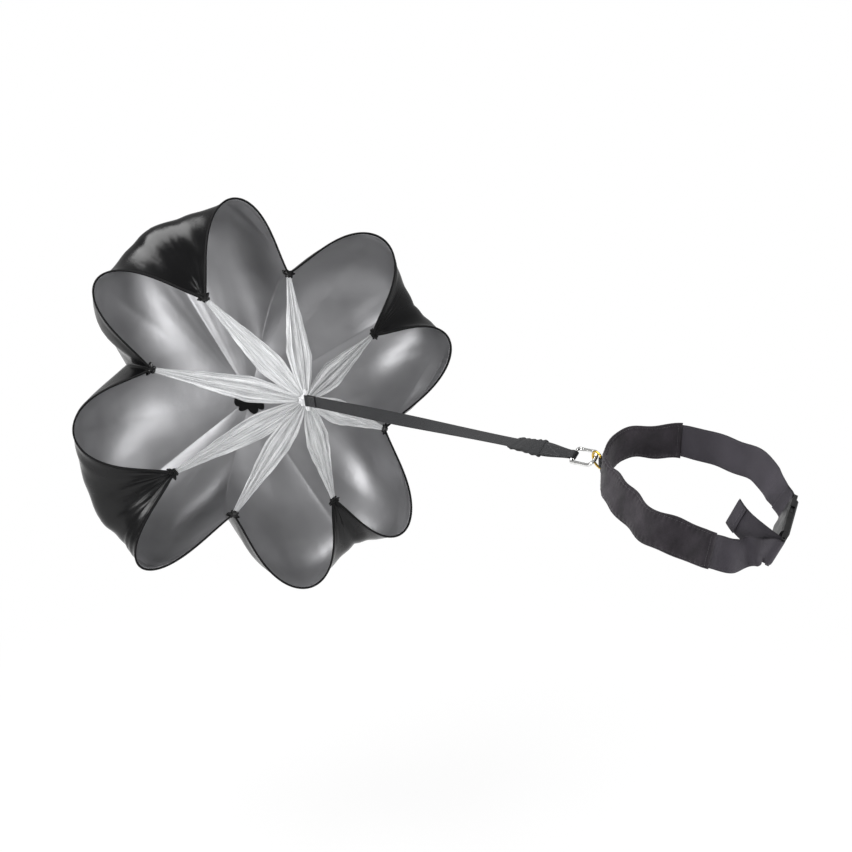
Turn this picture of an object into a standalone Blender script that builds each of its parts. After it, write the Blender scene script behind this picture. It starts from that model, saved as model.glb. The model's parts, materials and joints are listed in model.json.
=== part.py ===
"""Speed parachute: a lobed canopy, its mesh bridle, a tether strap and a waist belt.

Metres, +Z up. The origin is the middle of the waist that the belt goes round.
+X runs forwards, from the canopy to the belt. The canopy flies open, with its
mouth towards the belt, and its lowest lobe brushes the ground.
"""
import math

import bmesh
import bpy
import numpy as np
from mathutils import Matrix, Vector

# Clearances
TOUCH_GAP = 0.0003
RUNNING_GAP = 0.0006
CUT_OVERRUN = 0.002

# Waist belt: the loop that the webbing follows, seen from above
LOOP_HALF_LENGTH = 0.1575
LOOP_HALF_WIDTH = 0.111
LOOP_RISE = 0.018
BELT_FLARE = math.radians(15)
FAR_FLARE = math.radians(22)
FLARE_RUN = 0.060
FAR_FLARE_RUN = 0.110
BAR_FLAT = 0.020
BAR_RUN = 0.045
WEBBING_WIDTH = 0.050
WEBBING_THICKNESS = 0.0018
SLEEVE_MARGIN = 0.0022
SLEEVE_PAD = 0.0024
SLEEVE_FAR_LENGTH = 0.144
SLEEVE_NEAR_LENGTH = 0.288
SLEEVE_PLAY = 0.0005
SLEEVE_EDGE = 0.0016
JOIN_INSET = 0.020
JOIN_GAP = 0.0015
FOLD_BACK = 0.026
FOLD_TAPER = 0.010
FOLD_STEP = 0.004
FOLD_GAP = 0.0003
TAIL_LENGTH = 0.085
TAIL_START_TURN = math.radians(38)
TAIL_TURN = math.radians(70)
TAIL_HEM_LENGTH = 0.020

# Places of the loop's points, near side first: shares of half length, half width and rise
LOOP_POINT_SHARES = (
    (0.97, -0.23, -1.20), (0.84, -0.60, -1.00), (0.57, -0.82, -0.78), (0.32, -0.97, -0.55),
    (-0.02, -0.98, -0.40), (-0.38, -0.90, -0.15), (-0.63, -0.80, -0.05), (-0.775, -0.69, 0.00),
    (-0.86, -0.57, 0.15), (-0.975, -0.14, 0.95), (-0.87, 0.27, 1.00), (-0.67, 0.65, 1.00),
    (-0.385, 0.88, 1.00), (-0.07, 1.00, 1.00), (0.24, 0.95, 0.85), (0.50, 0.815, 0.72),
)
RING_POINT = 8
BUCKLE_PLACE_SHARES = (0.90, 0.41, -0.50)
BAR_LEAD = 0.012
PLUG_LEAD_TURN = math.radians(-64)
SOCKET_LEAD_TURN = math.radians(24)

# Side-release buckle
BUCKLE_TURN = math.radians(-50)
BUCKLE_DIP = math.radians(-11)
BUCKLE_TILT = math.radians(20)
BUCKLE_BAR_SPACING = 0.098
BUCKLE_BAR_RADIUS = 0.0025
BUCKLE_RAIL = 0.0046
RAIL_INSET = 0.0004
BUCKLE_PLAY = 0.0012
BUCKLE_THICKNESS = 0.0125
BUCKLE_WALL = 0.0028
FRAME_THICKNESS = 0.0056
WEBBING_SLOT = 0.009
SOCKET_LENGTH = 0.044
PRONG_LENGTH = 0.031
PRONG_ARM = 0.0036
PRONG_THICKNESS = 0.0052
SHOULDER_LENGTH = 0.013
SHOULDER_SETBACK = 0.014
CATCH_PLAY = 0.0012
GUIDE_LENGTH = 0.032
GUIDE_WIDTH = 0.006
BUCKLE_CHAMFER = 0.0022

# D-ring, and the tab that holds it on the belt
RING_WIRE = 0.0019
RING_HEIGHT = 0.030
RING_DEPTH = 0.021
RING_CORNER = 0.0035
TAB_WIDTH = 0.018
TAB_THICKNESS = 0.0015
TAB_LEG = 0.014

# Snap hook
HOOK_WIRE = 0.003
HOOK_LENGTH = 0.064
HOOK_WIDTH = 0.031
HOOK_ROLL = math.radians(45)
HOOK_SEAT_PLAY = 0.0008
HOOK_EYE_CORNER = 0.005
HOOK_NOSE_TURN = math.radians(169)
GATE_RADIUS = 0.0026
GATE_HINGE_SHARE = 0.70
GATE_NOSE_SHARE = 0.24
TONGUE_THICKNESS = 0.0022
TONGUE_LENGTH = 0.0058
TONGUE_LAP = 0.0018
FORK_LAP = 0.0020
FORK_DEPTH = 0.0032
GATE_PIN_RADIUS = 0.0009

# Tether strap
TETHER_DIP = math.radians(16.6)
TETHER_LENGTH = 1.068
STRAP_STEP = 0.015
STRAP_WIDTH = 0.025
STRAP_THICKNESS = 0.0016
STRAP_MIDDLE_ROLL = math.radians(18)
STRAP_HEAD_ROLL = math.radians(90)
HOOK_LOOP_LENGTH = 0.090
HOOK_LOOP_NECK = 0.0135
STRAP_FOLD_LENGTH = 0.095
STRAP_FOLD_MARGIN = 0.002
FOLD_PLAY = 0.0005
HEAD_LOOP_LENGTH = 0.050
LOOP_TAPER = 0.014

# Canopy: square cloth, inflated, with its corners and the middles of its sides drawn in
CANOPY_YAW = math.radians(-11.6)
CANOPY_PITCH = math.radians(22.4)
CANOPY_ROLL = math.radians(115.4)
BRIDLE_HEIGHT = 0.463
CANOPY_DEPTH = 0.280
GATHER_RADIUS = 0.310
LOBE_RADIUS = 0.500
LOBE_SETBACK = 0.030
CORNER_BULGE = 0.820
SIDE_BULGE = 0.345
LOBE_BULGE = 0.480
CLOTH_THICKNESS = 0.0015
VENT_RADIUS = 0.012
PATCH_RADIUS = 0.040
BINDING_WIDTH = 0.0050
BINDING_THICKNESS = 0.0034
BINDING_GAP = 0.0008
SEAM_SHARE = 0.999
SEAM_TRIM_SHARE = 0.6
HEM_END_SHARE = 0.965
PLEAT_HEIGHT = 0.009

# The lobes are not alike: small turns in degrees, and shares of the radii above
GATHER_TURNS = (1.0, 4.0, -1.0, -2.0, 0.0, -5.0, 5.0, -1.0)
LOBE_TURNS = (0.5, 1.0, -1.0, 6.0, -8.0, 2.0, -2.0, 1.0)
GATHER_RADIUS_SHARES = (0.96, 1.02, 1.01, 0.99, 0.99, 0.98, 0.98, 0.98)
LOBE_RADIUS_SHARES = (1.02, 1.01, 1.01, 1.00, 0.99, 0.985, 1.045, 0.97)
CORNER_BULGE_SHARES = (1.00, 0.88, 0.84, 0.99)
SIDE_BULGE_SHARES = (1.00, 1.00, 1.05, 1.28)
RIM_PINCH_SHARE = 0.14
RIM_POWER = 2.4
BULGE_POWER = 1.2

# Where a meridian's two swelling points lie: shares of the canopy's depth and of the bulge
LOBE_BACK_SHARE = 0.66
SIDE_BACK_SHARE = 0.58
CORNER_BACK_SHARE = 0.48
LOBE_LEVEL_SHARE = 0.66
SIDE_LEVEL_SHARE = 0.60
CORNER_LEVEL_SHARE = 0.32
INSIDE_SHARE = 0.3

# Pleats beside a corner, as shares of half a lobe: where they begin, are full and fade out
PLEAT_RISE_SHARE = 0.06
PLEAT_FADE_SHARE = 0.5
PLEAT_END_SHARE = 0.75
GRID_STEP_SHARE = 0.004
LEAST_HEIGHT_SHARE = 0.001
COLUMN_CROWDING_SHARE = 0.25

# Bridle of mesh bands
BAND_THICKNESS = 0.0012
BAND_FULL_WIDTH = 0.070
BAND_END_WIDTH = 0.014
BAND_ROOT_WIDTH = 0.0060
BAND_FOLD_HEIGHT = 0.0035
BAND_FULL_SHARE = 0.48
BAND_SEAT = 0.0012
TAB_BLOCK_LENGTH = 0.022
TAB_BLOCK_WIDTH = 0.026
TAB_BLOCK_THICKNESS = 0.007
TAB_EDGE_SHARE = 0.75
TAB_TAPER_SHARES = ((0.0, 1.0), (0.7, 0.85), (1.0, 0.55))
SIDE_TAB_SEAT = 0.0006
BRIDLE_WIRE = 0.0034
KNOT_FRONT_RADIUS = 0.008
KNOT_BACK_RADIUS = 0.0135
KNOT_LENGTH = 0.011
KNOT_SEAT = 0.0012

# Counts
GORES = 8
GORE_ROWS = 12
GORE_COLUMNS = 16
BAND_ROWS = 9
BAND_COLUMNS = 6
WIRE_SIDES = 8
BELT_STEP = 0.012
LOOP_STEPS = 8

UP = np.array((0.0, 0.0, 1.0))
SIDE = np.array((0.0, 1.0, 0.0))
FORWARD = np.array((1.0, 0.0, 0.0))


def unit(vector):
    """The vector, one long. Works on rows of vectors too."""
    vector = np.asarray(vector, float)
    return vector / np.linalg.norm(vector, axis=-1, keepdims=True)


def square_to(vector, axis):
    """The part of the vector that is square to the axis, one long."""
    axis = unit(axis)
    return unit(vector - (vector * axis).sum(-1, keepdims=True) * axis)


def blend(share):
    """A smooth step from 0 to 1."""
    share = np.clip(share, 0.0, 1.0)
    return share * share * (3.0 - 2.0 * share)


def lengths(points):
    """Distance along a polyline at each of its points."""
    return np.concatenate(([0.0], np.cumsum(np.linalg.norm(np.diff(points, axis=0), axis=1))))


def at_distance(points, distance):
    """Points of a polyline at given distances along it."""
    run = lengths(points)
    return np.stack([np.interp(distance, run, points[:, i]) for i in range(3)], axis=-1)


def spline(points, per_span=16):
    """Natural cubic spline through the points, over their chord length."""
    points = np.asarray(points, float)
    knots = lengths(points)
    span = np.diff(knots)
    count = len(points)
    system = np.eye(count)
    right = np.zeros((count, 3))
    slope = np.diff(points, axis=0) / span[:, None]
    for i in range(1, count - 1):
        system[i, i - 1:i + 2] = span[i - 1], 2 * (span[i - 1] + span[i]), span[i]
        right[i] = 6 * (slope[i] - slope[i - 1])
    bend = np.linalg.solve(system, right)
    share = np.linspace(0, 1, per_span, endpoint=False)[None, :, None]
    low, high = points[:-1, None], points[1:, None]
    h = span[:, None, None]
    curve = low * (1 - share) + high * share
    curve = curve + h * h / 6 * (((1 - share) ** 3 - (1 - share)) * bend[:-1, None]
                                 + (share ** 3 - share) * bend[1:, None])
    return np.vstack((curve.reshape(-1, 3), points[-1:]))


def tangents(points, closed=False):
    """Direction of a polyline at each point."""
    if closed:
        return unit(np.roll(points, -1, axis=0) - np.roll(points, 1, axis=0))
    return unit(np.gradient(points, axis=0))


# Materials: one Principled finish for each kind of stuff

def finish(name, colour, roughness, metallic=0.0):
    material = bpy.data.materials.new(name)
    material.use_nodes = True
    shader = material.node_tree.nodes["Principled BSDF"]
    shader.inputs["Base Color"].default_value = (*colour, 1.0)
    shader.inputs["Roughness"].default_value = roughness
    shader.inputs["Metallic"].default_value = metallic
    material.diffuse_color = (*colour, 1.0)
    return material


def make_finishes():
    return {
        "cloth": finish("coated_nylon", (0.16, 0.16, 0.165), 0.35),
        "binding": finish("hem_tape", (0.012, 0.012, 0.013), 0.6),
        "mesh": finish("bridle_mesh", (0.75, 0.76, 0.77), 0.8),
        "strap": finish("ribbed_webbing", (0.035, 0.036, 0.038), 0.75),
        "belt": finish("belt_webbing", (0.040, 0.036, 0.042), 0.8),
        "sleeve": finish("sleeve_cloth", (0.045, 0.040, 0.046), 0.85),
        "plastic": finish("moulded_nylon", (0.015, 0.015, 0.016), 0.4),
        "steel": finish("plated_steel", (0.75, 0.76, 0.78), 0.2, 1.0),
        "brass": finish("brass_wire", (0.72, 0.55, 0.15), 0.3, 1.0),
    }


# Solids

def add_solid(name, points, faces, material):
    """A closed mesh object, its faces pointing out."""
    mesh = bpy.data.meshes.new(name)
    mesh.from_pydata([tuple(map(float, p)) for p in points], [], faces)
    mesh.materials.append(material)
    shape = bmesh.new()
    shape.from_mesh(mesh)
    bmesh.ops.recalc_face_normals(shape, faces=shape.faces)
    shape.to_mesh(mesh)
    shape.free()
    item = bpy.data.objects.new(name, mesh)
    bpy.context.scene.collection.objects.link(item)
    return item


def loft(name, rings, material, closed=False):
    """A solid through rings of points. Open lofts are capped at both ends.

    Each face is split so that opposite sides of a twisted strap are split the same way.
    """
    rings = np.asarray(rings)
    count, sides = rings.shape[:2]
    faces = []
    for i in range(count if closed else count - 1):
        here, there = i * sides, (i + 1) % count * sides
        for j in range(sides):
            k = (j + 1) % sides
            if j < sides / 2:
                faces += [(here + j, here + k, there + k), (here + j, there + k, there + j)]
            else:
                faces += [(here + j, here + k, there + j), (here + k, there + k, there + j)]
    if not closed:
        faces.append(tuple(reversed(range(sides))))
        faces.append(tuple(range((count - 1) * sides, count * sides)))
    return add_solid(name, rings.reshape(-1, 3), faces, material)


def ribbon(name, centres, across, widths, thickness, material):
    """A flat strap along the centres; across is its width's direction."""
    forward = tangents(centres)
    across = square_to(across, forward)
    through = np.cross(forward, across)
    half = np.asarray(widths)[..., None] / 2 * across
    depth = np.asarray(thickness)[..., None] / 2 * through
    corners = ((1, 1), (-1, 1), (-1, -1), (1, -1))
    rings = np.stack([centres + a * half + b * depth for a, b in corners], axis=1)
    return loft(name, rings, material)


def wire(name, centres, plane_normal, radius, material, closed=False, flats=None):
    """Round wire along a flat curve; flats squeeze it along the plane's normal."""
    forward = tangents(centres, closed)
    outward = unit(np.cross(forward, plane_normal))
    squeeze = np.ones(len(centres)) if flats is None else np.asarray(flats)
    angle = np.arange(WIRE_SIDES) * 2 * math.pi / WIRE_SIDES
    ring_out = np.cos(angle)[None, :, None] * outward[:, None]
    ring_up = np.sin(angle)[None, :, None] * squeeze[:, None, None] * plane_normal
    rings = centres[:, None] + radius * (ring_out + ring_up)
    return loft(name, rings, material, closed)


class Frame:
    """A place with three directions, to put shapes in."""

    def __init__(self, origin, x, z):
        self.origin = np.asarray(origin, float)
        self.x = unit(x)
        self.z = square_to(z, self.x)
        self.y = np.cross(self.z, self.x)

    def at(self, points):
        points = np.asarray(points, float)
        return (self.origin + points[..., 0:1] * self.x + points[..., 1:2] * self.y
                + points[..., 2:3] * self.z)


def box(name, frame, low, high, material):
    """A block between two corners of a frame."""
    corners = [(x, y, z) for x in (low[0], high[0]) for y in (low[1], high[1])
               for z in (low[2], high[2])]
    faces = [(0, 1, 3, 2), (4, 6, 7, 5), (0, 4, 5, 1), (2, 3, 7, 6), (0, 2, 6, 4), (1, 5, 7, 3)]
    return add_solid(name, frame.at(corners), faces, material)


def chamfered_box(name, frame, low, high, chamfer, material):
    """A block whose long edges, those along the frame's x, are chamfered."""
    (y0, z0), (y1, z1) = low[1:], high[1:]
    outline = ((y0 + chamfer, z0), (y1 - chamfer, z0), (y1, z0 + chamfer), (y1, z1 - chamfer),
               (y1 - chamfer, z1), (y0 + chamfer, z1), (y0, z1 - chamfer), (y0, z0 + chamfer))
    rings = [frame.at([(x, y, z) for y, z in outline]) for x in (low[0], high[0])]
    return loft(name, rings, material)


def rod(name, frame, start, end, radius, material, sides=16):
    """A round rod between two points of a frame, along one of its axes."""
    start, end = np.asarray(start, float), np.asarray(end, float)
    along = unit(end - start)
    one = square_to(np.array((0.31, 0.59, 0.74)), along)
    two = np.cross(along, one)
    angle = np.arange(sides) * 2 * math.pi / sides
    ring = radius * (np.cos(angle)[:, None] * one + np.sin(angle)[:, None] * two)
    return loft(name, np.stack([frame.at(start + ring), frame.at(end + ring)]), material)


def combine(target, tool, operation):
    """Join a tool to a piece, or cut it away. The tool itself is not part of the model."""
    modifier = target.modifiers.new(operation.lower(), "BOOLEAN")
    modifier.object = tool
    modifier.operation = operation
    modifier.solver = "EXACT"
    tool.hide_render = True
    tool.display_type = "WIRE"


# Waist belt

def buckle_frame():
    """Middle of the buckle; x from the socket's bar to the plug's bar, y out of the loop."""
    half = np.array((LOOP_HALF_LENGTH, LOOP_HALF_WIDTH, LOOP_RISE))
    heading = np.array((math.cos(BUCKLE_TURN), math.sin(BUCKLE_TURN), math.tan(BUCKLE_DIP)))
    lean = math.cos(BUCKLE_TILT) * UP + math.sin(BUCKLE_TILT) * unit(np.cross(UP, heading))
    return Frame(np.array(BUCKLE_PLACE_SHARES) * half, heading, lean)


class BeltLine:
    """The line that the webbing follows, from the plug's bar round to the socket's bar.

    Distances run from the ring's seat, towards the socket.
    """

    def __init__(self):
        half = np.array((LOOP_HALF_LENGTH, LOOP_HALF_WIDTH, LOOP_RISE))
        buckle = buckle_frame()
        reach = BUCKLE_BAR_SPACING / 2
        middle = np.array(LOOP_POINT_SHARES) * half
        ends = [buckle.at(side * np.array((reach + far * math.cos(turn), far * math.sin(turn), 0)))
                for side, far, turn in ((1, 0, 0), (1, BAR_LEAD, PLUG_LEAD_TURN),
                                        (-1, BAR_LEAD, SOCKET_LEAD_TURN), (-1, 0, 0))]
        places = np.vstack((ends[:2], middle, ends[2:]))
        self.line = spline(places)
        run = lengths(self.line)
        nearest = np.argmin(np.linalg.norm(self.line - middle[RING_POINT], axis=1))
        self.seat = run[nearest]
        self.low = -self.seat
        self.high = run[-1] - self.seat
        self.buckle = buckle

    def frames(self, distance):
        """Centre, direction along, direction out of the loop and band's own up, at distances."""
        distance = np.atleast_1d(np.asarray(distance, float))
        inside = np.clip(distance, self.low, self.high)
        step = BELT_STEP / 4
        ahead = at_distance(self.line, np.clip(inside + step, self.low, self.high) + self.seat)
        behind = at_distance(self.line, np.clip(inside - step, self.low, self.high) + self.seat)
        along = unit(ahead - behind)
        out = unit(np.cross(UP, along))
        near = blend((-distance - TAB_LEG) / FLARE_RUN) * blend((distance - self.low) / FLARE_RUN)
        far = blend((distance - SLEEVE_FAR_LENGTH + FLARE_RUN) / FAR_FLARE_RUN)
        flare = (BELT_FLARE * near - FAR_FLARE * far)[:, None]
        up = square_to(np.cos(flare) * UP - np.sin(flare) * out, along)
        ends = np.minimum(self.high - distance, distance - self.low)
        on_bar = (1 - blend((ends - BAR_FLAT) / BAR_RUN))[:, None]
        up = unit(up + on_bar * (self.buckle.z - up))
        along = square_to(along, up)
        centre = at_distance(self.line, inside + self.seat) + (distance - inside)[:, None] * along
        return centre, along, np.cross(up, along), up

    def place(self, distance, offset):
        """Points off the line, and the band's up there."""
        centre, _, out, up = self.frames(distance)
        return centre + np.asarray(offset, float)[:, None] * out, up


def stations(start, end, step):
    """Even places along a line, the same for every piece that follows it, and both ends."""
    low, high = min(start, end), max(start, end)
    inner = np.arange(math.floor(low / step) + 1, math.ceil(high / step)) * step
    inner = inner[(inner > low + step / 5) & (inner < high - step / 5)]
    places = np.concatenate(([low], inner, [high]))
    return places if start < end else places[::-1]


def bar_wrap(radius, start=0.0):
    """Turn round a bar, from the inner side to the outer: places along and out from it."""
    angle = np.linspace(start - math.pi / 2, math.pi / 2, LOOP_STEPS + 1)
    return radius * np.cos(angle), radius * np.sin(angle)


def belt_webbing(belt, material):
    """Webbing from the socket's bar, round the loop, to its end inside the sleeve."""
    wrap = BUCKLE_BAR_RADIUS + TOUCH_GAP + WEBBING_THICKNESS / 2
    lay = WEBBING_THICKNESS / 2 + FOLD_GAP
    turn_along, turn_out = bar_wrap(wrap)
    bar = belt.high
    leg = stations(bar - FOLD_BACK, bar - FOLD_TAPER, FOLD_STEP)
    rest = stations(bar - FOLD_BACK - FOLD_TAPER, JOIN_INSET - SLEEVE_NEAR_LENGTH, BELT_STEP)
    distance = np.concatenate((leg, bar + turn_along, leg[::-1], rest))
    offset = np.concatenate((np.full(len(leg), -lay), turn_out, np.full(len(leg), lay),
                             np.zeros(len(rest))))
    centres, up = belt.place(distance, offset)
    ribbon("belt_webbing", centres, up, WEBBING_WIDTH, WEBBING_THICKNESS, material)


def tail_line(belt):
    """The free tail: from the plug's bar it turns away from the belt, into the loop."""
    wrap = BUCKLE_BAR_RADIUS + TOUCH_GAP + WEBBING_THICKNESS / 2
    start, along, out, up = (v[0] for v in belt.frames(belt.low))
    share = np.linspace(0, 1, 9)
    turn = TAIL_START_TURN + (TAIL_TURN - TAIL_START_TURN) * share
    heading = np.cos(turn)[:, None] * along - np.sin(turn)[:, None] * out
    steps = heading[1:] * TAIL_LENGTH / (len(share) - 1)
    leave = start - wrap * (math.cos(TAIL_START_TURN) * out + math.sin(TAIL_START_TURN) * along)
    return leave + np.vstack((np.zeros(3), np.cumsum(steps, axis=0))), up


def adjuster_webbing(belt, material):
    """Webbing from inside the sleeve to the plug's bar, round it, and back as the free tail."""
    wrap = BUCKLE_BAR_RADIUS + TOUCH_GAP + WEBBING_THICKNESS / 2
    turn_along, turn_out = bar_wrap(wrap, TAIL_START_TURN)
    run = stations(JOIN_INSET - SLEEVE_NEAR_LENGTH - JOIN_GAP, belt.low + FOLD_TAPER, BELT_STEP)
    distance = list(run) + list(belt.low - turn_along[::-1])
    offset = [0] * len(run) + list(turn_out[::-1])
    offset[len(run) - 1] = wrap * 0.6
    centres, up = belt.place(distance, offset)
    tail, tail_up = tail_line(belt)
    centres = np.vstack((centres, tail[1:]))
    up = np.vstack((up, np.tile(tail_up, (len(tail) - 1, 1))))
    ribbon("adjuster_webbing", centres, up, WEBBING_WIDTH, WEBBING_THICKNESS, material)


def tail_hem(belt, material):
    """The tail's end, folded over and sewn down."""
    tail, up = tail_line(belt)
    run = lengths(tail)
    forward = tangents(tail)
    inward = np.cross(forward, up)
    layer = tail - inward * (WEBBING_THICKNESS + TOUCH_GAP)
    centres = at_distance(layer, np.linspace(run[-1] - TAIL_HEM_LENGTH, run[-1], 4))
    ribbon("tail_hem", centres, up, WEBBING_WIDTH, WEBBING_THICKNESS, material)


def back_sleeve(belt, material):
    """Padded sleeve over the back half of the belt: a flat tube that the webbing runs through."""
    distance = stations(SLEEVE_FAR_LENGTH, -SLEEVE_NEAR_LENGTH, BELT_STEP)
    centre, _, out, up = belt.frames(distance)
    bore_high = WEBBING_WIDTH / 2 + SLEEVE_PLAY
    bore_deep = WEBBING_THICKNESS / 2 + SLEEVE_PLAY
    high = bore_high + SLEEVE_MARGIN
    deep = bore_deep + SLEEVE_PAD
    outline = ((high - SLEEVE_EDGE, deep), (high, deep - SLEEVE_EDGE), (high, SLEEVE_EDGE - deep),
               (high - SLEEVE_EDGE, -deep), (SLEEVE_EDGE - high, -deep), (-high, SLEEVE_EDGE - deep),
               (-high, deep - SLEEVE_EDGE), (SLEEVE_EDGE - high, deep))
    bore = ((bore_high, bore_deep), (bore_high, -bore_deep), (-bore_high, -bore_deep),
            (-bore_high, bore_deep))
    sleeve = loft("back_sleeve", belt_rings(centre, out, up, outline), material)
    past = (distance[0] + CUT_OVERRUN, distance[-1] - CUT_OVERRUN)
    centre, _, out, up = belt.frames(np.concatenate((past[:1], distance, past[1:])))
    combine(sleeve, loft("sleeve_bore", belt_rings(centre, out, up, bore), material), "DIFFERENCE")


def belt_rings(centre, out, up, outline):
    return np.stack([centre + h * up + d * out for h, d in outline], axis=1)


def sleeve_face():
    """Distance from the belt's line to the sleeve's outer face."""
    return WEBBING_THICKNESS / 2 + SLEEVE_PLAY + SLEEVE_PAD


def ring_bar_offset():
    """Distance from the belt's line to the middle of the ring's bar."""
    return sleeve_face() + TAB_THICKNESS + 2 * TOUCH_GAP + RING_WIRE


def ring_seat(belt):
    """Frame at the middle of the ring's bar: x towards the tether, z up the bar."""
    centre, _, out, up = (v[0] for v in belt.frames(0.0))
    return Frame(centre + ring_bar_offset() * out, square_to(-FORWARD, up), up)


def ring_tab(belt, material):
    """Strap of webbing over the ring's bar, sewn to the sleeve at both sides of it."""
    centre, along, out, _ = (v[0] for v in belt.frames(0.0))
    radius = RING_WIRE + TOUCH_GAP + TAB_THICKNESS / 2
    flat = sleeve_face() + TOUCH_GAP + TAB_THICKNESS / 2
    angle = np.linspace(math.radians(-10), math.radians(190), LOOP_STEPS + 3)
    wrap = (centre + (radius * np.cos(angle))[:, None] * along
            + (ring_bar_offset() + radius * np.sin(angle))[:, None] * out)
    feet, up = belt.place([TAB_LEG, TAB_LEG / 2, -TAB_LEG / 2, -TAB_LEG], [flat] * 4)
    centres = np.vstack((feet[:2], wrap, feet[2:]))
    up = np.vstack((up[:2], np.tile(belt.frames(0.0)[3], (len(wrap), 1)), up[2:]))
    return ribbon("ring_tab", centres, up, TAB_WIDTH, TAB_THICKNESS, material)


# Buckle

def buckle_width():
    return WEBBING_WIDTH + 2 * (BUCKLE_PLAY + BUCKLE_RAIL)


def bar_frame(name, frame, side, body_face, material):
    """Plate with a round bar past its slot, on the side (-1 or 1) of the buckle's middle."""
    bar = side * BUCKLE_BAR_SPACING / 2
    high = buckle_width() / 2 - RAIL_INSET
    thick = FRAME_THICKNESS / 2
    inner = body_face - side * (BUCKLE_WALL - CUT_OVERRUN / 4)
    span = sorted((bar, inner))
    plate = box(name, frame, (span[0], -thick, -high), (span[1], thick, high), material)
    gap = sorted((bar + side * CUT_OVERRUN, body_face - side * CUT_OVERRUN / 4))
    clear = high - BUCKLE_RAIL
    slot = box(name + "_slot", frame, (gap[0], -thick - CUT_OVERRUN, -clear),
               (gap[1], thick + CUT_OVERRUN, clear), material)
    combine(plate, slot, "DIFFERENCE")
    reach = high - BUCKLE_RAIL / 2
    bar_rod = rod(name + "_bar", frame, (bar, 0, -reach), (bar, 0, reach), BUCKLE_BAR_RADIUS, material)
    combine(plate, bar_rod, "UNION")
    return plate


def socket_mouth():
    """Where the socket's open end lies along the buckle."""
    return -BUCKLE_BAR_SPACING / 2 + BUCKLE_BAR_RADIUS + WEBBING_SLOT + SOCKET_LENGTH


def prong_shoulder():
    """Span of the prongs' shoulders along the buckle."""
    front = socket_mouth() - SHOULDER_SETBACK
    return front - SHOULDER_LENGTH, front


def buckle_socket(frame, material):
    """Socket half: a flat box, open at its mouth, with a window for each prong's shoulder."""
    half = buckle_width() / 2
    thick = BUCKLE_THICKNESS / 2
    mouth = socket_mouth()
    back = mouth - SOCKET_LENGTH
    socket = chamfered_box("buckle_socket", frame, (back, -thick, -half), (mouth, thick, half),
                           BUCKLE_CHAMFER, material)
    combine(socket, bar_frame("socket_frame", frame, -1, back, material), "UNION")
    wall = BUCKLE_WALL
    hollow = box("socket_hollow", frame, (back + wall, wall - thick, wall - half),
                 (mouth + CUT_OVERRUN, thick - wall, half - wall), material)
    combine(socket, hollow, "DIFFERENCE")
    low, high = prong_shoulder()
    slot = PRONG_THICKNESS / 2 + TOUCH_GAP
    for end in (-1, 1):
        reach = sorted((end * (half - 2 * wall), end * (half + CUT_OVERRUN)))
        window = box(f"socket_window_{end + 2}", frame, (low - CATCH_PLAY, -slot, reach[0]),
                     (high + CATCH_PLAY, slot, reach[1]), material)
        combine(socket, window, "DIFFERENCE")


def buckle_plug(frame, material):
    """Plug half: the base with its webbing bar, and the guide between the prongs."""
    half = buckle_width() / 2
    thick = BUCKLE_THICKNESS / 2
    face = socket_mouth() + TOUCH_GAP
    back = BUCKLE_BAR_SPACING / 2 - BUCKLE_BAR_RADIUS - WEBBING_SLOT
    plug = chamfered_box("buckle_plug", frame, (face, -thick, -half), (back, thick, half),
                         BUCKLE_CHAMFER, material)
    combine(plug, bar_frame("plug_frame", frame, 1, back, material), "UNION")
    depth = PRONG_THICKNESS / 2
    guide = box("plug_guide", frame, (face - GUIDE_LENGTH, -depth, -GUIDE_WIDTH / 2),
                (face + CUT_OVERRUN, depth, GUIDE_WIDTH / 2), material)
    combine(plug, guide, "UNION")
    return plug


def prong_root():
    """Middle of the upper prong's root: along the buckle, and up from its middle."""
    return socket_mouth() + TOUCH_GAP - RUNNING_GAP, buckle_width() / 4


def buckle_prong(name, frame, side, material):
    """One springy prong: an arm, and a shoulder that catches in the socket's window."""
    along, height = prong_root()
    low, high = prong_shoulder()
    outer = buckle_width() / 2 - TOUCH_GAP
    inner_wall = buckle_width() / 2 - BUCKLE_WALL - CATCH_PLAY
    tip = along - PRONG_LENGTH
    half = PRONG_ARM / 2
    outline = ((along, height - half), (along, height + half), (high, inner_wall),
               (high, outer), (low, outer - PRONG_ARM / 2), (tip, inner_wall - PRONG_ARM),
               (tip, inner_wall - 2 * PRONG_ARM), (high, inner_wall - PRONG_ARM))
    thick = PRONG_THICKNESS / 2
    rings = [frame.at([(x, y, side * z) for x, z in outline]) for y in (-thick, thick)]
    return loft(name, rings, material)


# Ring and snap hook

def tether_frame(pivot):
    """Hook and strap frame: x along the tether to the canopy, z square to it, upwards."""
    heading = np.array((-math.cos(TETHER_DIP), 0.0, -math.sin(TETHER_DIP)))
    return Frame(pivot, heading, UP)


def rolled(frame, roll):
    """Width direction of strap or hook: level across, turned up by the roll."""
    return math.cos(roll) * SIDE + math.sin(roll) * frame.z


def ring_radius():
    """Radius of the ring's bow, to the middle of its wire."""
    return RING_HEIGHT / 2 - RING_WIRE


def bow_centre(belt):
    """Centre of the round bow that the hook slides along."""
    return ring_seat(belt).at((RING_DEPTH - ring_radius(), 0, 0))


def hook_contact(belt):
    """Point of the bow's wire that the tether pulls on."""
    centre = bow_centre(belt)
    return centre + ring_radius() * tether_frame(centre).x


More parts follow.
